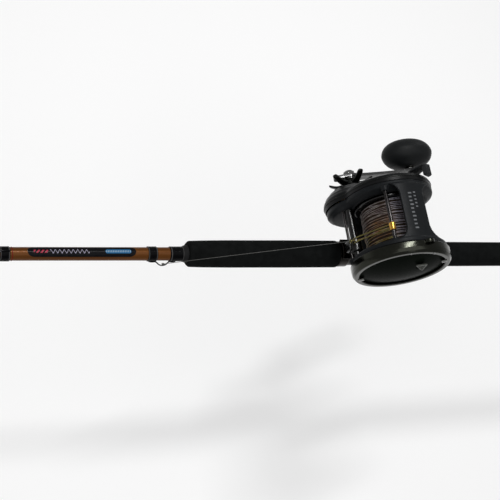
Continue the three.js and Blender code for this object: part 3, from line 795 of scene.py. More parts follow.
def fishing_line():
    pts = []
    for a, b in zip(LINE_ROUTE, LINE_ROUTE[1:]):
        n = max(1, round((Vector(b) - Vector(a)).length / 6))
        pts += [Vector(a).lerp(Vector(b), k / n) for k in range(n)]
    pts.append(Vector(LINE_ROUTE[-1]))
    o = sweep("fishing_line", pts, 0.26, 8)
    o.data.materials.append(M["clear_line"])
    knot = []
    k0 = Vector(LINE_ROUTE[-1])
    for i in range(61):
        t = i / 60
        a = t * TAU * 4
        knot.append(k0 + Vector((-1.5 + 2.6 * t, 0.75 * cos(a), 0.75 * sin(a) - 0.2)))
    kn = sweep("line_knot", knot, 0.26, 8)
    done(kn, "rod", "line_nylon", "clear_line")
    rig.blend(o, "carriage", "rod", start=at(*LINE_ROUTE[0]), end=at(-170, -9.9, 15))
    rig.slot(o, "line_nylon")
    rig.replaces(o, "fishing_line")
    length = sum((Vector(b) - Vector(a)).length for a, b in zip(LINE_ROUTE, LINE_ROUTE[1:])) / 1000
    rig.cord(o, exit=at(*LINE_ROUTE[0]), length=length, diameter=0.00052, far_end="knot", stiffness="limp",
        lay="taut", path=[at(*p) for p in pts], with_pieces=[kn])


fishing_line()


# ---------------------------------------------------------------- rod

def rod_pieces():
    xs = [TIP + 3.5 + (344 - TIP - 3.5) * (k / 90) for k in range(91)]
    prof = [(blank_r(x), x) for x in xs] + [(max(0.8, blank_r(x) - 2.2), x) for x in reversed(xs)]
    done(lathe("blank", prof, "X", 48), "rod", "blank_gloss", "blank", "blank")
    label_band()
    f = [(6.8, -191), (10.6, -191, 0.4), (12.3, -189.2, 1.6), (12.75, -176), (12.95, -162), (13.15, -147),
        (13.2, -120), (13.4, -90), (13.4, -33.4, 1.0), (12.2, -32, 0.5), (6.9, -32)]
    done(lathe("foregrip", f, "X", 96), "rod", "grip_foam", "foam", "foregrip")
    r = [(7.2, 64.3), (11.6, 64.3, 0.4), (12.8, 65.6, 1), (12.8, 150), (12.9, 240), (12.8, 329, 0.8),
        (12.1, 330, 0.3), (7.6, 330)]
    done(lathe("rear_grip", r, "X", 96), "rod", "grip_foam", "foam", "rear_grip")
    butt_cap()


def label_band():
    """A thin printed band with round ends on the side of the blank that faces up."""
    x0, x1, lo, hi, end, steps = -342.0, -242.3, 40, 138, 7.0, 120

    def row(x, lift):
        e = min(x - x0, x1 - x, end)
        inset = (1 - math.sqrt(max(0, 1 - ((end - e) / end) ** 2))) * 0.49 * (hi - lo)
        return [at(x, y, z) for y, z in arc(blank_r(x) + lift, lo + inset, hi - inset, 40)]

    xs = [x0 + (x1 - x0) * i / steps for i in range(steps + 1)]
    band = sheet("label_band", [[row(x, lift) for x in xs] for lift in (0.02, 0.1)], 50)
    done(band, "rod", "thread_black", "label")


def butt_cap():
    p = [(0, 346), (7.7, 346), (7.7, 330.3), (12.8, 330.3, 0.4), (13.2, 332, 0.5), (13.5, 333.5),
        (13.9, 350, 2), (13.8, 369, 2.4), (11.8, 372, 0.5), (8.5, 372, 0.3), (8.2, 371.6, 0.2), (0, 371.6)]
    cap = lathe("cap_body", p, "X", 96, closed=False)
    rings = [lathe("cap_ring", [(13.5, x - 0.9), (14.25, x, 0.4), (13.5, x + 0.9)], "X", 72) for x in (352,
        356, 360, 364)]
    done(join("butt_cap", cap, *rings), "rod", "rubber_black", "butt", "butt_cap")


def sleeve_prof(x0, x1, lift):
    r0, r1 = blank_r(x0), blank_r(x1)
    return [(r0 + 0.1, x0), (r0 + 0.2, x0), (r0 + lift * 0.8, x0 + 0.5, 0.4), (r0 + lift, x0 + 1.4, 0.8),
        (r1 + lift, x1 - 1.4, 0.8), (r1 + lift * 0.8, x1 - 0.5, 0.4), (r1 + 0.2, x1), (r1 + 0.1, x1)]


def wrap(name, x0, x1, *nodes, lift=0.7, silver=(), red=()):
    done(lathe(name, sleeve_prof(x0, x1, lift), "X", 64), "rod", "thread_black", "thread", *nodes)
    for i, (a, b) in enumerate(silver):
        r = blank_r(a) + lift + 0.06
        p = [(blank_r(a) + 0.1, a), (r - 0.1, a), (r, a + 0.2, 0.1), (r, b - 0.2, 0.1), (r - 0.1, b),
            (blank_r(a) + 0.1, b)]
        done(lathe(f"{name}_trim_{i + 1}", p, "X", 64), "rod", "steel_bright", "silver_thread")
    for i, (a, b) in enumerate(red):
        r = blank_r(a) + 0.3
        p = [(r - 0.25, a), (r, a + 0.1), (r, b - 0.1), (r - 0.25, b)]
        done(lathe(f"{name}_red_{i + 1}", p, "X", 64), "rod", "thread_black", "red_thread")


def wraps():
    wrap("front_wrap", -209, -191.3, "front_wrap", silver=[(-208, -207), (-196.5, -195.7)])
    wrap("keeper_wrap", -230.4, -221.2, "keeper_wrap", silver=[(-230.0, -229.3), (-222.6, -221.8)])
    check = [(6.9, -196), (7.4, -195.6, 0.3), (8.6, -192.2, 0.6), (8.4, -191.2), (6.9, -191.2)]
    done(lathe("winding_check", check, "X", 72), "rod", "rubber_black", "butt")
    out = lambda x, r, s=0.0: (x, -0.925 * r + 0.38 * s, -0.38 * r - 0.925 * s)
    pts = catmull([out(-226, 7.0), out(-222.5, 7.2), out(-220.6, 8.2), out(-218.2, 10.1),
        out(-215.2, 10.7), out(-212.2, 10.1), out(-209.9, 8.2), out(-208, 7.2), out(-204.5, 7.0)], 6)
    done(sweep("hook_keeper", pts, 0.62, 12), "rod", "steel_bright", "steel", "hook_keeper")
    for i, (a, b) in enumerate(((-228.5, -221.6), (-209, -202.5))):
        foot = [out(x, 6.35 + 0.75 * sin(math.pi * k / 10) ** 0.5) for k,
            x in enumerate([a + (b - a) * j / 10 for j in range(11)])]
        done(sweep(f"keeper_foot_wrap_{i + 1}", foot, 0.95, 14), "rod", "thread_black", "thread")


def threads_on(name, x0, x1, r, pitch, depth):
    """A screw thread: the radius follows a helix."""
    n = int((x1 - x0) / pitch * 8)
    seg = 72
    verts = []
    for i in range(n + 1):
        x = x0 + (x1 - x0) * i / n
        for k in range(seg):
            t = TAU * k / seg
            ph = ((x - x0) / pitch - k / seg) % 1
            d = depth * (0.5 + 0.5 * cos(TAU * ph))
            verts.append(at(x, (r - d) * cos(t), (r - d) * sin(t)))
    return build(name, verts, tube_faces(n + 1, seg), 60)


def arc_bar(name, x0, x1, r0, r1, a, b, bevel=0.6):
    return plate(name, arc(r1, a, b, 24) + arc(r0, b, a, 24), x0, x1, "X", bevel=bevel, segs=3)


def seat():
    tube = lathe("seat_a", [(7, -31.6), (11.0, -31.6), (11.3, -31.2, 0.2), (11.3, 33), (7, 33)], "X", 96)
    th = threads_on("seat_b", 33, 63.9, 11.3, 1.5, 0.5)
    done(join("seat_tube", tube, th), "rod", "metal_dark", "dark_metal", "seat_tube")
    ring = lathe("hood_a", [(11.5, -31.7), (12.2, -31.7, 0.3), (12.7, -30.6, 0.6), (12.7, -23, 0.6),
        (12.3, -21.6, 0.4), (11.5, -21.5)], "X", 96)
    hump = arc_bar("hood_b", -31.6, -21.6, 11.9, 16.6, 50, 130, bevel=1.4)
    cut(hump, arc_bar("hood_room", -29.2, -20, 9, 14.7, 55, 125, bevel=0))
    done(join("front_hood", ring, hump), "rod", "metal_dark", "hood", "front_hood")
    ring = lathe("hood_c", [(11.6, 31.5), (12.6, 31.5, 0.3), (12.9, 32, 0.4), (12.9, 38.6),
        (14, 39.6, 0.6), (14, 46, 0.8), (13, 47, 0.3), (11.6, 47)], "X", 96)
    hump = arc_bar("hood_d", 31.6, 39.5, 11.9, 17, 50, 130, bevel=1.4)
    cut(hump, arc_bar("hood_room2", 30, 38, 9, 14.7, 55, 125, bevel=0))
    cut(ring, arc_bar("hood_room3", 30, 38, 11.5, 14.7, 55, 125, bevel=0))
    done(join("rear_hood", ring, hump), "rear_hood", "metal_dark", "dark_metal", "rear_hood")
    lock_nut()
    foot()


def lock_nut():
    nut = plate("nut_a", knurl(14.45, 0.42, 36), 48.6, 57.6, "X", holes=[circle(11.6, 72)], bevel=0.35)
    collar = lathe("nut_b", [(11.6, 47.3), (13.3, 47.3, 0.3), (13.6, 47.9, 0.3), (13.6, 48.8),
        (11.6, 48.8)], "X", 96)
    collar2 = lathe("nut_c", [(11.6, 57.4), (13.6, 57.4), (13.6, 58.2, 0.3), (13.2, 58.8, 0.3),
        (11.6, 58.8)], "X", 96)
    done(join("lock_nut", nut, collar, collar2), "lock_nut", "metal_dark", "dark_metal", "lock_nut")


def foot():
    s = arc_bar("foot_a", -21, 28, 11.75, 14.1, 42, 138, bevel=0.5)
    t = arc_bar("foot_b", -28.9, 36.4, 11.75, 14.15, 58, 122, bevel=0.9)
    out = [(-15, -9, 4), (15, -9, 4), (15, 9, 4), (-15, 9, 4)]
    p = plate("foot_c", round_corners(out, True, 6), 13, 16.4, "Z", bevel=0.4)
    done(join("reel_foot", s, t, p), "rod", "steel_bright", "steel", "reel_foot")


# ---------------------------------------------------------------- reel frame and plates

def curved_slab(name, ys, span, r0, r1, n=26):
    """Curved plate about the spool axis; span(y) gives its two edge angles in degrees."""
    def row(y, r):
        return [at(x, y, H + z) for x, z in arc(r, *span(y), n)]

    return sheet(name, [[row(y, r) for y in ys] for r in (r0, r1)], 40)


def flare(lo, hi, lo2, hi2, y0, y1, reach):
    """Edge angles that stay at lo..hi and open in quarter rounds to lo2..hi2 at both ends."""
    def span(y):
        d = min(y - y0, y1 - y)
        t = max(0.0, min(1.0, 1 - d / reach))
        q = 1 - math.sqrt(max(0.0, 1 - t * t))
        return lo + (lo2 - lo) * q, hi + (hi2 - hi) * q
    return span


def remesh(o, voxel, smooth=2):
    modify(o, "REMESH", mode="VOXEL", voxel_size=voxel / 1000, adaptivity=0.0)
    modify(o, "SMOOTH", factor=0.5, iterations=smooth)
    o.data.shade_smooth()
    return o


def reel_frame():
    y = [-25.4 + 54.8 * k / 74 for k in range(75)]
    near = lathe("fr_near", [(36.5, -30), (46, -30, 0.8), (46.2, -25.9, 1.2), (44.8, -24.9, 0.8),
        (36.5, -25, 0.6)], "Y", 120)
    cup = [
        lathe("fr_far", [(34.6, 24.6, 0.4), (37.8, 24.8, 1.6), (43.3, 28.1, 0.9), (44, 29.2, 0.5),
        (44, 33), (41.5, 33),
                         (41.5, 30.2), (40.6, 30.2), (40.6, 27.3), (34.6, 27.3)], "Y", 120),
        lathe("fr_ear", [(0, 24.9), (29.8, 24.9, 1.6), (33.8, 27.5, 0.9), (EAR_R, 28.6, 0.5), (EAR_R, 33),
        (32.9, 33), (32.9, 30.2),
                         (31.4, 30.2), (31.4, 27.3), (0, 27.3)], "Y", 120, EAR, closed=False),
    ]
    top = curved_slab("fr_top", y, flare(76.5, 108, 57, 121, -25.5, 29.5, 12), 42.2, 45.8)
    bottom = curved_slab("fr_bottom", y, flare(-112, -68, -123, -57, -25.5, 29.5, 9), 42.3, 45.5)
    lugs = [
        plate("fr_lug", circle(5.6, 40, WORM), -29.9, -24.9, bevel=0),
        plate("fr_lug2", circle(3.2, 32, PILLAR), -29.9, -24.9, bevel=0),
        plate("fr_lug3", circle(5.4, 40, WORM), 24.9, 26.5, bevel=0),
        plate("fr_lug4", circle(2.6, 32, PILLAR), 24.9, 26.5, bevel=0),
        plate("fr_lug5", circle(3.3, 32, BAR), -26, -23.9, bevel=0),
        plate("fr_lug6", circle(3.3, 32, BAR), 23.7, 29, bevel=0),
    ]
    for o in (cup[0], bottom):
        bore(o, 31.4, 27.3, 34, 90, EAR)
        bore(o, 32.9, 30.2, 34, 90, EAR)
    bore(cup[1], 40.6, 27.3, 34, 100)
    bore(cup[1], 41.5, 30.2, 34, 100)
    bore(cup[1], 34.6, 20, 30, 100)
    o = join("frame", near, *cup, top, bottom, *lugs)
    remesh(o, 0.6, 3)
    done(o, "rod", "frame_graphite", "frame", "frame")
    bridge_print()


def bridge_print():
    """Plain pale marks on the top bridge in place of printing: a row of short bars."""
    bars = []
    for k in range(10):
        y0 = -18 + k * 3.9
        a, b = (94.6, 98.2) if k % 3 else (93.8, 98.2)
        bars.append(curved_slab("bar", [y0, y0 + 1.5], lambda y, a=a, b=b: (a, b), 45.74, 45.88, 8))
    for k in range(5):
        y0 = 3.5 + k * 3.6
        bars.append(curved_slab("bar", [y0, y0 + 1.3], lambda y: (88.6, 91.4), 45.74, 45.88, 8))
    done(join("bridge_print", *bars), "rod", "steel_bright", "print")


def screw(name, x, y, z, r, s):
    """Low domed screw head on the rod's body, facing +Y or -Y by the sign s, with a cross recess."""
    prof = [(0, 0.75 * s), (r * 0.55, 0.72 * s), (r * 0.9, 0.42 * s), (r, 0.1 * s), (r, -0.4 * s),
        (0, -0.4 * s)]
    n, seg = len(prof), 32
    verts, faces = [], []
    for k in range(seg):
        t = TAU * k / seg
        for q, a in prof:
            d = 0.0
            if abs(cos(2 * t)) > 0.93 and q < r * 0.7:
                d = 0.35 * s
            verts.append(at(x + q * cos(t), y + a - d, z + q * sin(t)))
    for k in range(seg):
        m = (k + 1) % seg
        for i in range(n - 1):
            faces.append((k * n + i, k * n + i + 1, m * n + i + 1, m * n + i))
    done(build(name, verts, faces, 30), "rod", "steel_bright", "chrome")


def left_side():
    ring = lathe("ring_a", [(40.0, -33.1), (41.3, -33.1), (41.3, -41.2, 0.3), (41.9, -41.9, 0.4),
        (45.7, -41.9, 0.9), (47.5, -39.4, 1.6), (47.9, -36.4, 1.0), (47.9, -31.0, 0.5), (47.2, -30.3, 0.4),
        (40.0, -30.3)], "Y", 160)
    tabs = []
    for deg in (36, -142):
        out = round_corners([(37.6, -3.5, 0.9), (43, -3.5), (43, 3.5), (37.6, 3.5, 0.9)], True, 4)
        t = plate("tab", out, -42.4, -40.8, bevel=0.35)
        tabs.append(turn_y(t, deg))
    lug = plate("ring_lug", circle(4.8, 48, (3.3, 47.6)), -33.8, -30.6, holes=[circle(1.5, 24,
        (3.3, 50))], bevel=0.4)
    bore(lug, 46, -36, -28, 120)
    done(join("left_ring", ring, *tabs, lug), "rod", "ring_gunmetal", "gunmetal", "left_ring")
    spots = ((36, 40.6, -42.4), (-142, 39.6, -42.4), (78, 44.0, -41.9), (110, 44.0, -41.9))
    for i, (deg, r, y) in enumerate(spots):
        t = radians(deg)
        screw(f"ring_screw_{i + 1}", r * cos(t), y, H + r * sin(t), 1.35, -1)
    prof = [(0, -46), (8, -45.7), (15, -45.0), (22, -44.0), (29, -42.6), (35, -41.0), (38.6, -40.0, 1.2),
        (40.4, -39.6, 0.5), (40.9, -38.9), (40.9, -33.5), (37.5, -33.5), (36, -37.6), (30, -39.7),
        (20, -41.8), (9, -43.1), (9, -34.3), (6.2, -34.3), (6.2, -38.2), (0, -38.2)]
    cover = lathe("left_plate", prof, "Y", 120, closed=False)
    cut(cover, turn_y(box("slot", 14.4, 22.2, -48, -35, H - 1.9, H + 1.9, 0), 60))
    soften(cover, 30)
    done(cover, "rod", "side_plastic", "cover", "left_plate")
    rim = lathe("cover_line", [(38.2, -39.9), (38.4, -40.4, 0.1), (39.2, -40.2, 0.1), (39.2, -39.6),
        (38.2, -39.6)], "Y", 120)
    done(rim, "rod", "side_plastic", "cover")


def clicker():
    tri = round_corners([(-0.2, 23.0, 1.4), (10.8, 27.0, 1.4), (15.0, 9.6, 1.4)], True, 6)
    b = plate("click_a", tri, -46.7, -45.4, bevel=0.3, segs=3)
    tri2 = round_corners([(2.0, 21.9, 0.8), (9.6, 25.0, 0.8), (12.6, 13.0, 0.8)], True, 5)
    cut(b, plate("click_cut", tri2, -48, -46.1, bevel=0))
    ribs = []
    for k in range(4):
        f = 0.12 + 0.17 * k
        a = Vector((5.2, 23.2)).lerp(Vector((12.4, 13.8)), f)
        w = 3.2 * (1 - f)
        out = [(a.x - w, a.y - 0.42 * w - 0.3), (a.x + w, a.y + 0.42 * w - 0.3),
            (a.x + w, a.y + 0.42 * w + 0.3), (a.x - w, a.y - 0.42 * w + 0.3)]
        ribs.append(plate("click_rib", out, -46.6, -46.0, bevel=0.1))
    stem = turn_y(box("click_b", 18.8, 21.8, -46, -31.9, H - 1.4, H + 1.4, 0.2), 60)
    pawl = turn_y(box("click_c", 13, 21.8, -33.2, -31.9, H - 1.4, H + 1.4, 0.2), 60)
    done(join("clicker_button", b, *ribs, stem, pawl), "clicker", "side_plastic", "slider",
        "clicker_button")


def dome(p, table):
    for (d0, y0), (d1, y1) in zip(table, table[1:]):
        if p <= d1:
            t = (p - d0) / (d1 - d0)
            t2 = t * t * (3 - 2 * t) if d1 - d0 > 3 else t
            return y0 + (y1 - y0) * (0.5 * t + 0.5 * t2)
    return table[-1][1]


A_DOME = [(0, 46.9), (14, 46.6), (28, 44.8), (36, 43.2), (41, 41.2), (43.3, 39.8), (44, 38.2)]
B_DOME = [(0, 52.3), (13, 52.0), (19, 50.9), (24, 49.0), (29.5, 44.8), (32.8, 41.0), (34.2, 38.6),
    (34.5, 36)]


def b_centre(y):
    return EAR[0] + 8.4 - 0.29 * y, EAR[1] - 2.6 + 0.09 * y


def plate_height(x, z):
    """Outer face of the crank-side plate above a point, x and z from the spool axis."""
    ya = dome(math.hypot(x, z), A_DOME) if math.hypot(x, z) <= 44 else 33.3
    yb = 45.0
    for _ in range(8):
        cx, cz = b_centre(yb)
        d = math.hypot(x - cx, z - cz)
        yb = 0.5 * yb + 0.5 * (dome(d, B_DOME) if d <= EAR_R else 36)
    k = 1.2
    hi, lo = max(ya, yb), min(ya, yb)
    return hi + k * math.log(1 + math.exp((lo - hi) / k)) * 0.6


def crank_plate():
    """Side plate as a polar sheet about a point inside both domes, closed by its rim."""
    mx, mz = -9.0, -11.0
    seg, rings = 144, 44
    verts, faces = [], []

    def edge(y):
        out = []
        ex, ez = b_centre(y)
        for k in range(seg):
            t = TAU * k / seg
            u = (cos(t), sin(t))
            best = 0.0
            for cx, cz, r in ((0, 0, 44.0), (ex, ez, EAR_R - max(0, y - 36) * 0.1)):
                b = (mx - cx) * u[0] + (mz - cz) * u[1]
                q = (mx - cx) ** 2 + (mz - cz) ** 2 - r * r
                best = max(best, -b + math.sqrt(max(0, b * b - q)))
            out.append(best)
        for _ in range(3):
            out = [max(out[k], (out[k - 1] + 2 * out[k] + out[(k + 1) % seg]) / 4) for k in range(seg)]
        return out

    levels = (33.3, 34.2, 36.0, 37.4)
    edges = [edge(y) for y in levels]
    rim = edge(37.8)
    for k in range(seg):
        t = TAU * k / seg
        for y, e in zip(levels, edges):
            verts.append(at(mx + e[k] * cos(t), y, H + mz + e[k] * sin(t)))
        for j in range(rings):
            f = 0.9985 * cos(0.5 * math.pi * (j / rings)) ** 0.62
            x, z = mx + rim[k] * f * cos(t), mz + rim[k] * f * sin(t)
            verts.append(at(x, max(37.8, plate_height(x, z)), H + z))
    w = len(levels) + rings
    for k in range(seg):
        m = (k + 1) % seg
        for j in range(w - 1):
            faces.append((k * w + j, m * w + j, m * w + j + 1, k * w + j + 1))
    verts.append(at(mx, plate_height(mx, mz), H + mz))
    c = len(verts) - 1
    for k in range(seg):
        faces.append((k * w + w - 1, ((k + 1) % seg) * w + w - 1, c))
    o = build("right_plate", verts, faces, 50)
    modify(o, "SOLIDIFY", thickness=0.0013, offset=-1.0, use_even_offset=False)
    for r, cc, y0, y1 in ((6.7, DRIVE, 40, 60), (11.2, (0, 0), 49, 60), (5.8, (0, 0), 40, 60),
        (2.0, LEVER, 38, 50)):
        bore(o, r, y0, y1, 64, cc)
    soften(o, 35)
    boss = lathe("plate_boss", [(5.6, 43.4), (10.8, 43.4), (10.8, 48.7, 0.5), (10.2, 49, 0.2), (5.6, 49)],
        "Y", 72)
    pocket = lathe("plate_pocket", [(6.3, 43.3), (11.4, 43.3), (11.4, 45), (6.3, 45)], "Y", 72)
    lip = lathe("plate_lip", [(6.7, 50.5), (8.9, 50.8), (8.9, 52.9, 0.5), (8.2, 53.4, 0.3),
        (6.7, 53.4, 0.2)], "Y", 72, DRIVE)
    done(join("right_plate", o, boss, pocket, lip), "rod", "frame_graphite", "plate", "right_plate")
    seam = []
    for k in range(seg):
        t = TAU * k / seg
        seam.append((mx + edges[3][k] * 1.001 * cos(t),
            37.0, H + mz + edges[3][k] * 1.001 * sin(t)))
    done(sweep("plate_bead", seam, 0.45, 10, closed=True), "rod", "ring_gunmetal", "star")
    for i, (x, z) in enumerate(((36, 8), (-6, 37), (17, -35), (-44, -17), (-27, -50))):
        y = plate_height(x, z)
        screw(f"plate_screw_{i + 1}", x, y - 0.2, H + z, 1.9, 1)


# ---------------------------------------------------------------- spool and line

def wound(name, rad, pitch, sense, thick, wobble, phase, span=42.0):
    """One layer of line wound back and forth as a helix of uneven height."""
    turns = span / pitch
    n = int(turns * 56)
    pts = []
    for i in range(n + 1):
        t = i / n
        a = sense * TAU * turns * t + 0.3 * sin(8.3 * t * TAU + phase) + phase
        y = -span / 2 + span * t
        y += wobble * (sin(a * 0.93 + 2.1 * phase) + 0.4 * sin(2.7 * a))
        r = rad + 0.22 * sin(3.1 * a + phase) * sin(0.37 * a) - 0.02 * abs(y)
        pts.append((r * cos(a), max(-21.6, min(21.6, y)), H + r * sin(a)))
    return sweep(name, pts, thick, 6, sharp=80)


def spool_group():
    half = [(2.8, 24.4), (8, 24.4, 0.3), (9, 23.4, 0.4), (29.6, 23.4, 0.5), (30.6, 24.4, 0.4),
        (33.2, 24.4, 0.5), (33.5, 23.9, 0.3), (33.4, 22.9, 0.3), (32.6, 22.6, 0.3), (12, 22.2, 0.6)]
    prof = half + [(r, -s, *f) for r, s, *f in reversed(half)]
    done(lathe("spool", prof, "Y", 120), "spool", "ring_gunmetal", "spool", "spool")
    # the core under the strands takes the painted-shade colour, standing for the shade between the strands
    shaded_core = lathe("line_pack", [(12.2, -22), (27.2, -22), (27.8, -18), (28.0, 0), (27.8, 18), (27.2, 22),
        (12.2, 22)], "Y", 72)
    strands = [wound("strand_1", 28.3, 3.1, 1, 0.42, 0.4, 0.0),
        wound("strand_2", 28.8, 4.7, -1, 0.36, 0.9, 1.3),
        wound("strand_3", 29.2, 9.3, 1, 0.36, 1.3, 2.6, 38)]
    done(shaded_core, "spool", "line_nylon", "shaded_core", "line_pack")
    done(join("line_strands", *strands), "spool", "line_nylon", "line")
    lead = [(-28.2, -8.5, H + 7.5), (-34, -9.2, H + 2.5), (-40, -9.7, H - 1.8), (-46.6, -10, H - 5.6)]
    o = sweep("line_lead", catmull(lead, 6), 0.3, 8)
    done(o, "carriage", "line_nylon", "line")


# ---------------------------------------------------------------- crank side

def star():
    hub = lathe("star_hub", [(3.5, 44), (6.3, 44, 0.2), (6.3, 54.2), (8.6, 54.2, 0.4), (9.4, 55.6, 0.6),
        (9.4, 58.6, 1.0), (7.6, 60.6, 0.9), (6.6, 61.3, 0.3), (3.5, 61.3, 0.2)], "Y", 64, DRIVE)
    arms = []
    rows = [(6.0, 57.0, 2.0, 5.0), (9.5, 57.1, 1.9, 4.4), (13, 57.7, 1.7, 3.6), (16.5, 59.2, 1.6, 3.2),
        (19.6, 61.1, 1.6, 3.1), (21.8, 62.4, 1.5, 2.8), (22.9, 62.9, 0.9, 1.9)]
    for k in range(5):
        a = radians(89 + 72 * k)
        c, s = cos(a), sin(a)
        verts, seg = [], 16
        for r, y, ht, hw in rows:
            for j in range(seg):
                t = TAU * j / seg
                ex = abs(cos(t)) ** 0.6 * (1 if cos(t) > 0 else -1)
                ey = abs(sin(t)) ** 0.6 * (1 if sin(t) > 0 else -1)
                u, v = hw * ex, ht * ey
                verts.append(at(DRIVE[0] + r * c - u * s, y + v, H + DRIVE[1] + r * s + u * c))
        star_arm = build("star_arm", verts, tube_faces(len(rows), seg), 80)
        arms.append(modify(star_arm, "SUBSURF", levels=1, render_levels=1))
    done(join("star_drag", hub, *arms), "star", "metal_dark", "star", "star_drag")


def handle():
    out = arc(8, 50, 112, 8) + arc(4.9, 90, 270, 16, (-12, 0)) + arc(8, 248, 310, 8)
    slot = round_corners([(-14, -1.8, 1.2), (-7.5, -1.8, 1.2), (-7.5, 1.8, 1.2), (-14, 1.8, 1.2)], True, 4)
    out += [(9, -5.5), (14, -5.1), (30, -4.5), (46, -4.4), (54, -4.7), (60, -5.3)]
    out += arc(5.6, -90, 90, 16, (ARM, 0))
    out += [(60, 5.3), (54, 4.7), (46, 4.4), (30, 4.5), (14, 5.1), (9, 5.5)]
    arm = plate("arm_a", out, 63.4, 66.4, holes=[circle(3.5, 32), circle(2.5, 24, (ARM, 0)), slot],
        bevel=0.55, segs=3)
    for v in arm.data.vertices:
        x = v.co.x * 1000 + BUTT
        v.co.y += 0.062 * x / 1000
        v.co.z -= H / 1000
    rot = Matrix.Translation(at(DRIVE[0], 0, H + DRIVE[1])) @ Matrix.Rotation(-TILT, 4,
        "Y") @ Matrix.Translation(-at(0, 0, 0))
    arm.data.transform(rot)
    sock = lathe("arm_b", [(3.6, 61.7), (6.4, 61.7, 0.3), (6.4, 64), (3.6, 64)], "Y", 48, DRIVE)
    done(join("handle_arm", arm, sock), "crank", "steel_bright", "arm", "handle_arm")
    nut = lathe("nut_dome", [(0, 72.3), (2.4, 72.1), (4.2, 71.4, 0.6), (4.9, 70.3, 0.5), (4.9, 69.8),
        (0, 69.8)], "Y", 48, DRIVE, closed=False)
    hexa = plate("nut_hex", circle(6.1, 6, DRIVE), 67.1, 70.2, holes=[circle(3.5, 32, DRIVE)],
        bevel=0.45, segs=3)
    done(join("handle_nut", hexa, nut), "crank", "steel_bright", "chrome", "handle_nut")
    spin = lathe("knob_spindle", [(0, 67.2), (2.2, 67.2, 0.3), (2.2, 71.7), (4.3, 71.7, 0.2),
        (4.3, 72.4, 0.2), (2.2, 72.4), (2.2, 96), (0, 96)], "Y", 40, END, closed=False)
    done(spin, "crank", "steel_bright", "chrome", "knob_spindle")
    knob()


def knob():
    prof = [(2.7, 72.8), (4.4, 72.8), (5.6, 73.1), (8.2, 73.6), (12.6, 74.6), (17.4, 76.4), (21.9, 79.2),
        (24.9, 82.8), (26.5, 87.0), (26.6, 90.0), (25.2, 93.8), (22.6, 97.2), (19.0, 99.7), (14.2, 101.5),
        (8.6, 102.5), (3.5, 102.85), (0, 102.9)]
    sm = catmull([(a[0], a[1], 0) for a in prof], 4)
    o = lathe("knob", [(max(0, p.x), p.y) for p in sm], "Y", 96, (0, 0), closed=False, sharp=50)
    p0 = at(0, 0, H)
    o.data.transform(Matrix.Translation(at(END[0], 0, H + END[1])) @ Matrix.Rotation(-TILT, 4,
        "Y") @ Matrix.Diagonal((1, 1, 0.76, 1)) @ Matrix.Translation(-p0))
    done(o, "knob", "rubber_black", "rubber", "knob")
    cap = lathe("knob_collar", [(2.5, 72.8), (5.4, 72.8, 0.3), (5.8, 73.5, 0.3), (5.2, 74.6, 0.3),
        (2.5, 74.6)], "Y", 48, END)
    done(cap, "knob", "steel_bright", "dark_metal")


def lever():
    out = round_corners([(-5, -5, 3), (3, -6, 3), (6, 0, 4), (5.5, 20, 6), (6.5, 30, 1.5), (-3, 32, 1.5),
        (-8.5, 18, 8), (-6.5, 2, 4)], True, 5)
    arm = plate("lever_a", out, 47.4, 49.4, "Y", LEVER, bevel=0.6, segs=3)
    pin = lathe("lever_b", [(0, 50.4), (1.6, 50.3), (3.2, 49.6, 0.5), (3.2, 49.0), (1.7, 49.0),
        (1.7, 38.6), (0, 38.6)], "Y", 40, LEVER, closed=False)
    pad = box("pad", 45.9, 50.1, 37.8, 48.4, H - 4.7, H + 4.7, 1.2, 4)
    steps = [H - 4.1 + k * 1.6 for k in range(6)]
    ribs = [box("rib", 49.8, 50.7, 38.6, 47.6, z, z + 0.8, 0.25, 2) for z in steps]
    whole = join("pad", pad, *ribs)
    turn_y(whole, 63)
    done(join("freespool_lever", arm, pin, whole), "lever", "side_plastic", "lever", "freespool_lever")


def tension_cap():
    a = plate("cap_a", knurl(9.35, 0.28, 28), 49.3, 53.6, bevel=0.4)
    b = lathe("cap_b", [(0, 54.3), (5.5, 54.2), (8.4, 53.6, 0.3), (8.4, 53), (0, 53)], "Y", 64,
        closed=False)
    c = lathe("cap_c", [(0, 47), (5.2, 47), (5.2, 49.6), (0, 49.6)], "Y", 48, closed=False)
    done(join("tension_cap", a, b, c), "tension", "metal_dark", "star", "tension_cap")


# ---------------------------------------------------------------- level wind

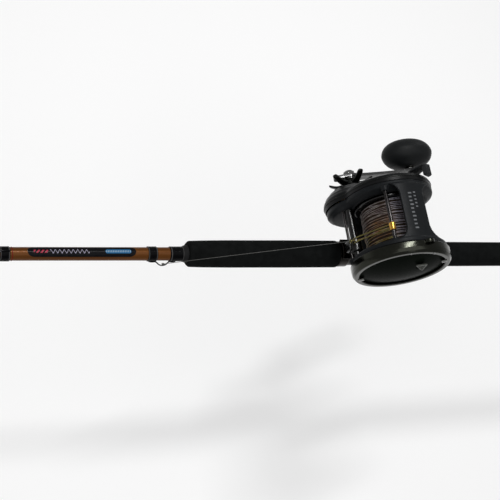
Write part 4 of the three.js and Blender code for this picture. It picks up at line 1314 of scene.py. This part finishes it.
def level_wind():
    n, seg = 230, 48
    verts = []
    pitch = 9.0
    for i in range(n + 1):
        y = -23 + 46 * i / n
        for k in range(seg):
            t = TAU * k / seg
            d = 0.0
            if abs(y) < 19.5:
                for s in (1, -1):
                    ph = (y / pitch - s * t / TAU) % 1
                    e = min(ph, 1 - ph) * pitch
                    d = max(d, 0.75 * max(0.0, 1 - (e / 1.0) ** 2))
            r = 2.6 - d
            verts.append(at(WORM[0] + r * cos(t), y, H + WORM[1] + r * sin(t)))
    groove = build("worm_a", verts, tube_faces(n + 1, seg), 50)
    j1 = lathe("worm_b", [(0, -29.6), (2, -29.6), (2, -22.9), (0, -22.9)], "Y", 32, WORM, closed=False)
    j2 = lathe("worm_c", [(0, 22.9), (2, 22.9), (2, 35.4), (0, 35.4)], "Y", 32, WORM, closed=False)
    done(join("worm_shaft", groove, j1, j2), "worm", "steel_bright", "steel", "worm_shaft")
    gap = radians(26)
    d0 = radians(-90)
    tube = lathe("tube_a", [(2.9, -20), (3.6, -20), (3.6, 20), (2.9, 20)], "Y", 64, WORM,
        arc=(d0 + gap, d0 + TAU - gap))
    e1 = lathe("tube_b", [(2.9, -29.6), (3.6, -29.6), (3.6, -19.9), (2.9, -19.9)], "Y", 64, WORM)
    e2 = lathe("tube_c", [(2.9, 19.9), (3.6, 19.9), (3.6, 26.9), (2.9, 26.9)], "Y", 64, WORM)
    done(join("worm_tube", tube, e1, e2), "rod", "steel_bright", "steel", "worm_tube")
    for name, c, r in (("front_pillar", PILLAR, 1.4), ("guide_bar", BAR, 1.85)):
        o = lathe(name, [(0, -29.7), (r, -29.7, 0.2), (r, 27.1, 0.2), (0, 27.1)], "Y", 32, c, closed=False)
        done(o, "rod", "steel_bright", "bar", name)
    carriage()


def carriage():
    wx, wz = WORM
    y = CARR
    body = lathe("car_a", [(3.9, y - 6.5), (5.6, y - 6.5, 0.4), (6.0, y - 5.6, 0.3), (6.0, y + 5.6, 0.3),
        (5.6, y + 6.5, 0.4), (3.9, y + 6.5)], "Y", 56, WORM)
    blk = box("car_b", wx - 8, wx - 1, y - 5, y + 5, H + wz - 6.4, H + wz + 2, 0.9)
    bore(blk, 3.9, y - 9, y + 9, 48, WORM)
    bore(blk, 1.7, y - 9, y + 9, 32, PILLAR)
    bore(body, 1.7, y - 9, y + 9, 32, PILLAR)
    wires = []
    for d in (-1.9, 1.9):
        pts = [(wx - 4, y + 2 + d, H + wz + 2), (wx - 4.9, y + 2 + d, H + wz + 7),
            (wx - 3.6, y + 1.6 + d, H + wz + 14), (-34.5, y + 0.8 + d, H + 18),
            (BAR[0] - 3.8, y + d, H + BAR[1] - 4.8), (BAR[0] - 2.2, y + d, H + BAR[1] - 2.6)]
        wires.append(sweep("car_w", catmull(pts, 8), 0.62, 12))
    eye = [(-46.6, -10 + 1.5 * cos(t),
        H - 5.6 + 1.5 * sin(t)) for t in [TAU * k / 28 for k in range(28)]]
    eye_o = sweep("car_eye", eye, 0.55, 10, closed=True)
    done(join("carriage", body, blk), "carriage", "frame_graphite", "steel", "carriage")
    done(join("guide_wires", *wires, eye_o), "carriage", "steel_bright", "wire")
    s = lathe("guide_sleeve", [(2.15, y - 3.6), (2.8, y - 3.6, 0.2), (3.1, y - 3.0, 0.2),
        (3.1, y + 3.0, 0.2), (2.8, y + 3.6, 0.2), (2.15, y + 3.6)], "Y", 48, BAR)
    done(s, "carriage", "brass", "brass", "guide_sleeve")
    cap = lathe("pawl", [(0, 3.0), (1.2, 3.0), (2.2, 2.8, 0.3), (2.6, 2.2, 0.3), (2.6, 0), (0, 0)], "Y",
        40, closed=False)
    p0 = at(0, 0, H)
    cap.data.transform(Matrix.Translation(at(wx, y, H + wz - 6.6)) @ Matrix.Rotation(radians(-90), 4,
        "X") @ Matrix.Translation(-p0))
    cap.name = "pawl_cap"
    done(cap, "carriage", "steel_bright", "chrome", "pawl_cap")


# ---------------------------------------------------------------- guides

def torus_x(name, x, z, big, small, seg=64, ring=14):
    pts = [(x, big * cos(TAU * k / seg), z + big * sin(TAU * k / seg)) for k in range(seg)]
    return sweep(name, pts, small, ring, closed=True)


def guides():
    for i, (x, h, r) in enumerate(GUIDES):
        b = blank_r(x)
        z = b + h
        span = 9 + h * 0.75
        parts = [torus_x("g_hoop", x, z, r + 1.0, 0.6)]
        for s in (1, -1):
            pts = [(x + 0.2, s * (r + 1.0), z - 0.5), (x + span * 0.22, s * (r * 0.93 + 0.6), z - h * 0.22),
                   (x + span * 0.58, s * r * 0.52, z - h * 0.55), (x + span * 0.92, s * 0.95, b + 1.5),
                   (x + span + 2, s * 0.75, b + 1.05)]
            parts.append(sweep("g_leg", catmull(pts, 7), 0.58, 10))
        pts = [(x - 0.1, 0, z - r - 1.0), (x - span * 0.3, 0, b + (h - r) * 0.55 + 0.9),
            (x - span * 0.72, 0, b + 1.5), (x - span - 2, 0, b + 1.0)]
        parts.append(sweep("g_front", catmull(pts, 7), 0.62, 10))
        for sgn in (1, -1):
            a, c = x + sgn * (span - 1.5), x + sgn * (span + 9)
            pts = [(a + (c - a) * k / 8, 0, b + 1.05 - 0.05 * k) for k in range(9)]
            parts.append(sweep("g_foot", pts, lambda t: 1.5 - 0.9 * t, 12, flat=0.42))
        done(join(f"guide_{i + 1}", *parts), "rod", "guide_black", "guide", f"guide_{i + 1}")
        ring = torus_x(f"guide_ring_{i + 1}", x, z, r - 0.42, 0.72, 72, 16)
        done(ring, "rod", "ceramic_grey", "ceramic", f"guide_ring_{i + 1}")
        for j, sgn in enumerate((1, -1)):
            a, c = sorted((x + sgn * (span + 1), x + sgn * (span + 10)))
            wrap(f"guide_wrap_{i + 1}_{j + 1}", a, c, lift=0.62,
                silver=[(a + 0.5, a + 1.3), (c - 1.3, c - 0.5)],
                red=[(c + 1.5, c + 2.1)] if (i == 0 and sgn > 0) else ())
            hump = [(a + (c - a) * k / 12, 0, b + 0.15 + 0.85 * sin(math.pi * min(1,
                (k if sgn > 0 else 12 - k) + 3) / 15)) for k in range(13)]
            done(sweep(f"guide_hump_{i + 1}_{j + 1}", hump, lambda t: 1.5, 14, flat=0.6), "rod",
                "thread_black", "thread")


def tip_top():
    b = blank_r(TIP + 4) + 0.25
    tube = lathe("tt_a", [(0, TIP + 1.5), (b + 0.5, TIP + 1.5, 0.4), (b + 0.7, TIP + 4),
        (b + 0.8, TIP + 16, 0.2), (b, TIP + 16), (b, TIP + 3), (0, TIP + 3)], "X", 40, closed=False)
    parts = [tube, torus_x("tt_h", TIP + 2, 8.6, 5.5, 0.6)]
    for s in (1, -1):
        pts = [(TIP + 2, s * 4.9, 6.2), (TIP + 5, s * 3.6, 5.0), (TIP + 10, s * 1.9, 3.4),
            (TIP + 14.5, s * 0.9, 2.6)]
        parts.append(sweep("tt_b", catmull(pts, 6), 0.5, 10))
    parts.append(sweep("tt_p", [(TIP + 2.2, 0, 1.5), (TIP + 2.1, 0, 3.4)], 0.8, 10))
    done(join("tip_top", *parts), "rod", "guide_black", "guide", "tip_top")
    done(torus_x("tip_ring", TIP + 2, 8.6, 4.1, 0.75, 64, 14), "rod", "ceramic_grey", "ceramic", "tip_ring")
    wrap("tip_wrap", TIP + 16.2, TIP + 24, lift=0.55, silver=[(TIP + 17, TIP + 17.6)])


# ---------------------------------------------------------------- kept CAD pieces

def kept():
    looks = {
        "steel": ("bridge_plate", "bearing_left", "bearing_right", "spool_shaft", "drive_shaft", "ratchet",
                  "spring_washer", "dog", "lever_cam"),
        "brass": ("clicker_gear", "pinion", "main_gear"),
        "nylon": ("pinion_yoke", "levelwind_gear", "worm_gear"),
        "fibre": ("drag_washer",),
    }
    for look, nodes in looks.items():
        for node in nodes:
            o = frame["nodes"][node]
            o.data.materials.clear()
            o.data.materials.append(M[look])


# ---------------------------------------------------------------- studio

FLOOR_HALF = 8.0
FLOOR_Z = -0.32  # metres, low enough for the shadow to stay faint


def studio():
    w = bpy.data.worlds.new("studio")
    bpy.context.scene.world = w
    w.use_nodes = True
    bg = w.node_tree.nodes["Background"]
    bg.inputs["Color"].default_value = (1, 1, 1, 1)
    bg.inputs["Strength"].default_value = 0.4
    me = bpy.data.meshes.new("floor")
    s, z = FLOOR_HALF, FLOOR_Z
    me.from_pydata([(-s, -s, z), (s, -s, z), (s, s, z), (-s, s, z)], [], [(0, 1, 2, 3)])
    floor = new_object("floor", me)
    m = bpy.data.materials.new("floor_white")
    m.use_nodes = True
    b = m.node_tree.nodes["Principled BSDF"]
    b.inputs["Base Color"].default_value = (0.95, 0.95, 0.95, 1)
    b.inputs["Roughness"].default_value = 0.9
    me.materials.append(m)
    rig.stage(floor)

    def area(name, loc, target, size, power, size_y=None):
        d = bpy.data.lights.new(name, "AREA")
        d.energy = power
        d.size = size
        if size_y:
            d.shape = "RECTANGLE"
            d.size_y = size_y
        o = bpy.data.objects.new(name, d)
        bpy.context.scene.collection.objects.link(o)
        o.location = loc
        o.rotation_mode = "QUATERNION"
        o.rotation_quaternion = (Vector(target) - Vector(loc)).to_track_quat("-Z", "Y")

    c = at(0, 0, 50)
    area("overhead", at(-200, 0, 0) + Vector((-0.6, -1.3, 5)), at(-200, 0, 0), 6, 162)
    area("key", c + Vector((-0.12, 0.36, 1.1)), c, 0.42, 5, 0.06)
    area("rim", c + Vector((0.8, 0.9, 0.7)), c, 0.3, 1.6)
    bpy.context.scene.view_settings.view_transform = "Standard"


rod_pieces()
wraps()
seat()
reel_frame()
left_side()
clicker()
crank_plate()
spool_group()
star()
handle()
lever()
tension_cap()
level_wind()
guides()
tip_top()
kept()
studio()

with open("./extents.json", "w") as f:
    json.dump({"cad": CAD_BOX, "visual": [list(v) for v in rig.bounds()]}, f)
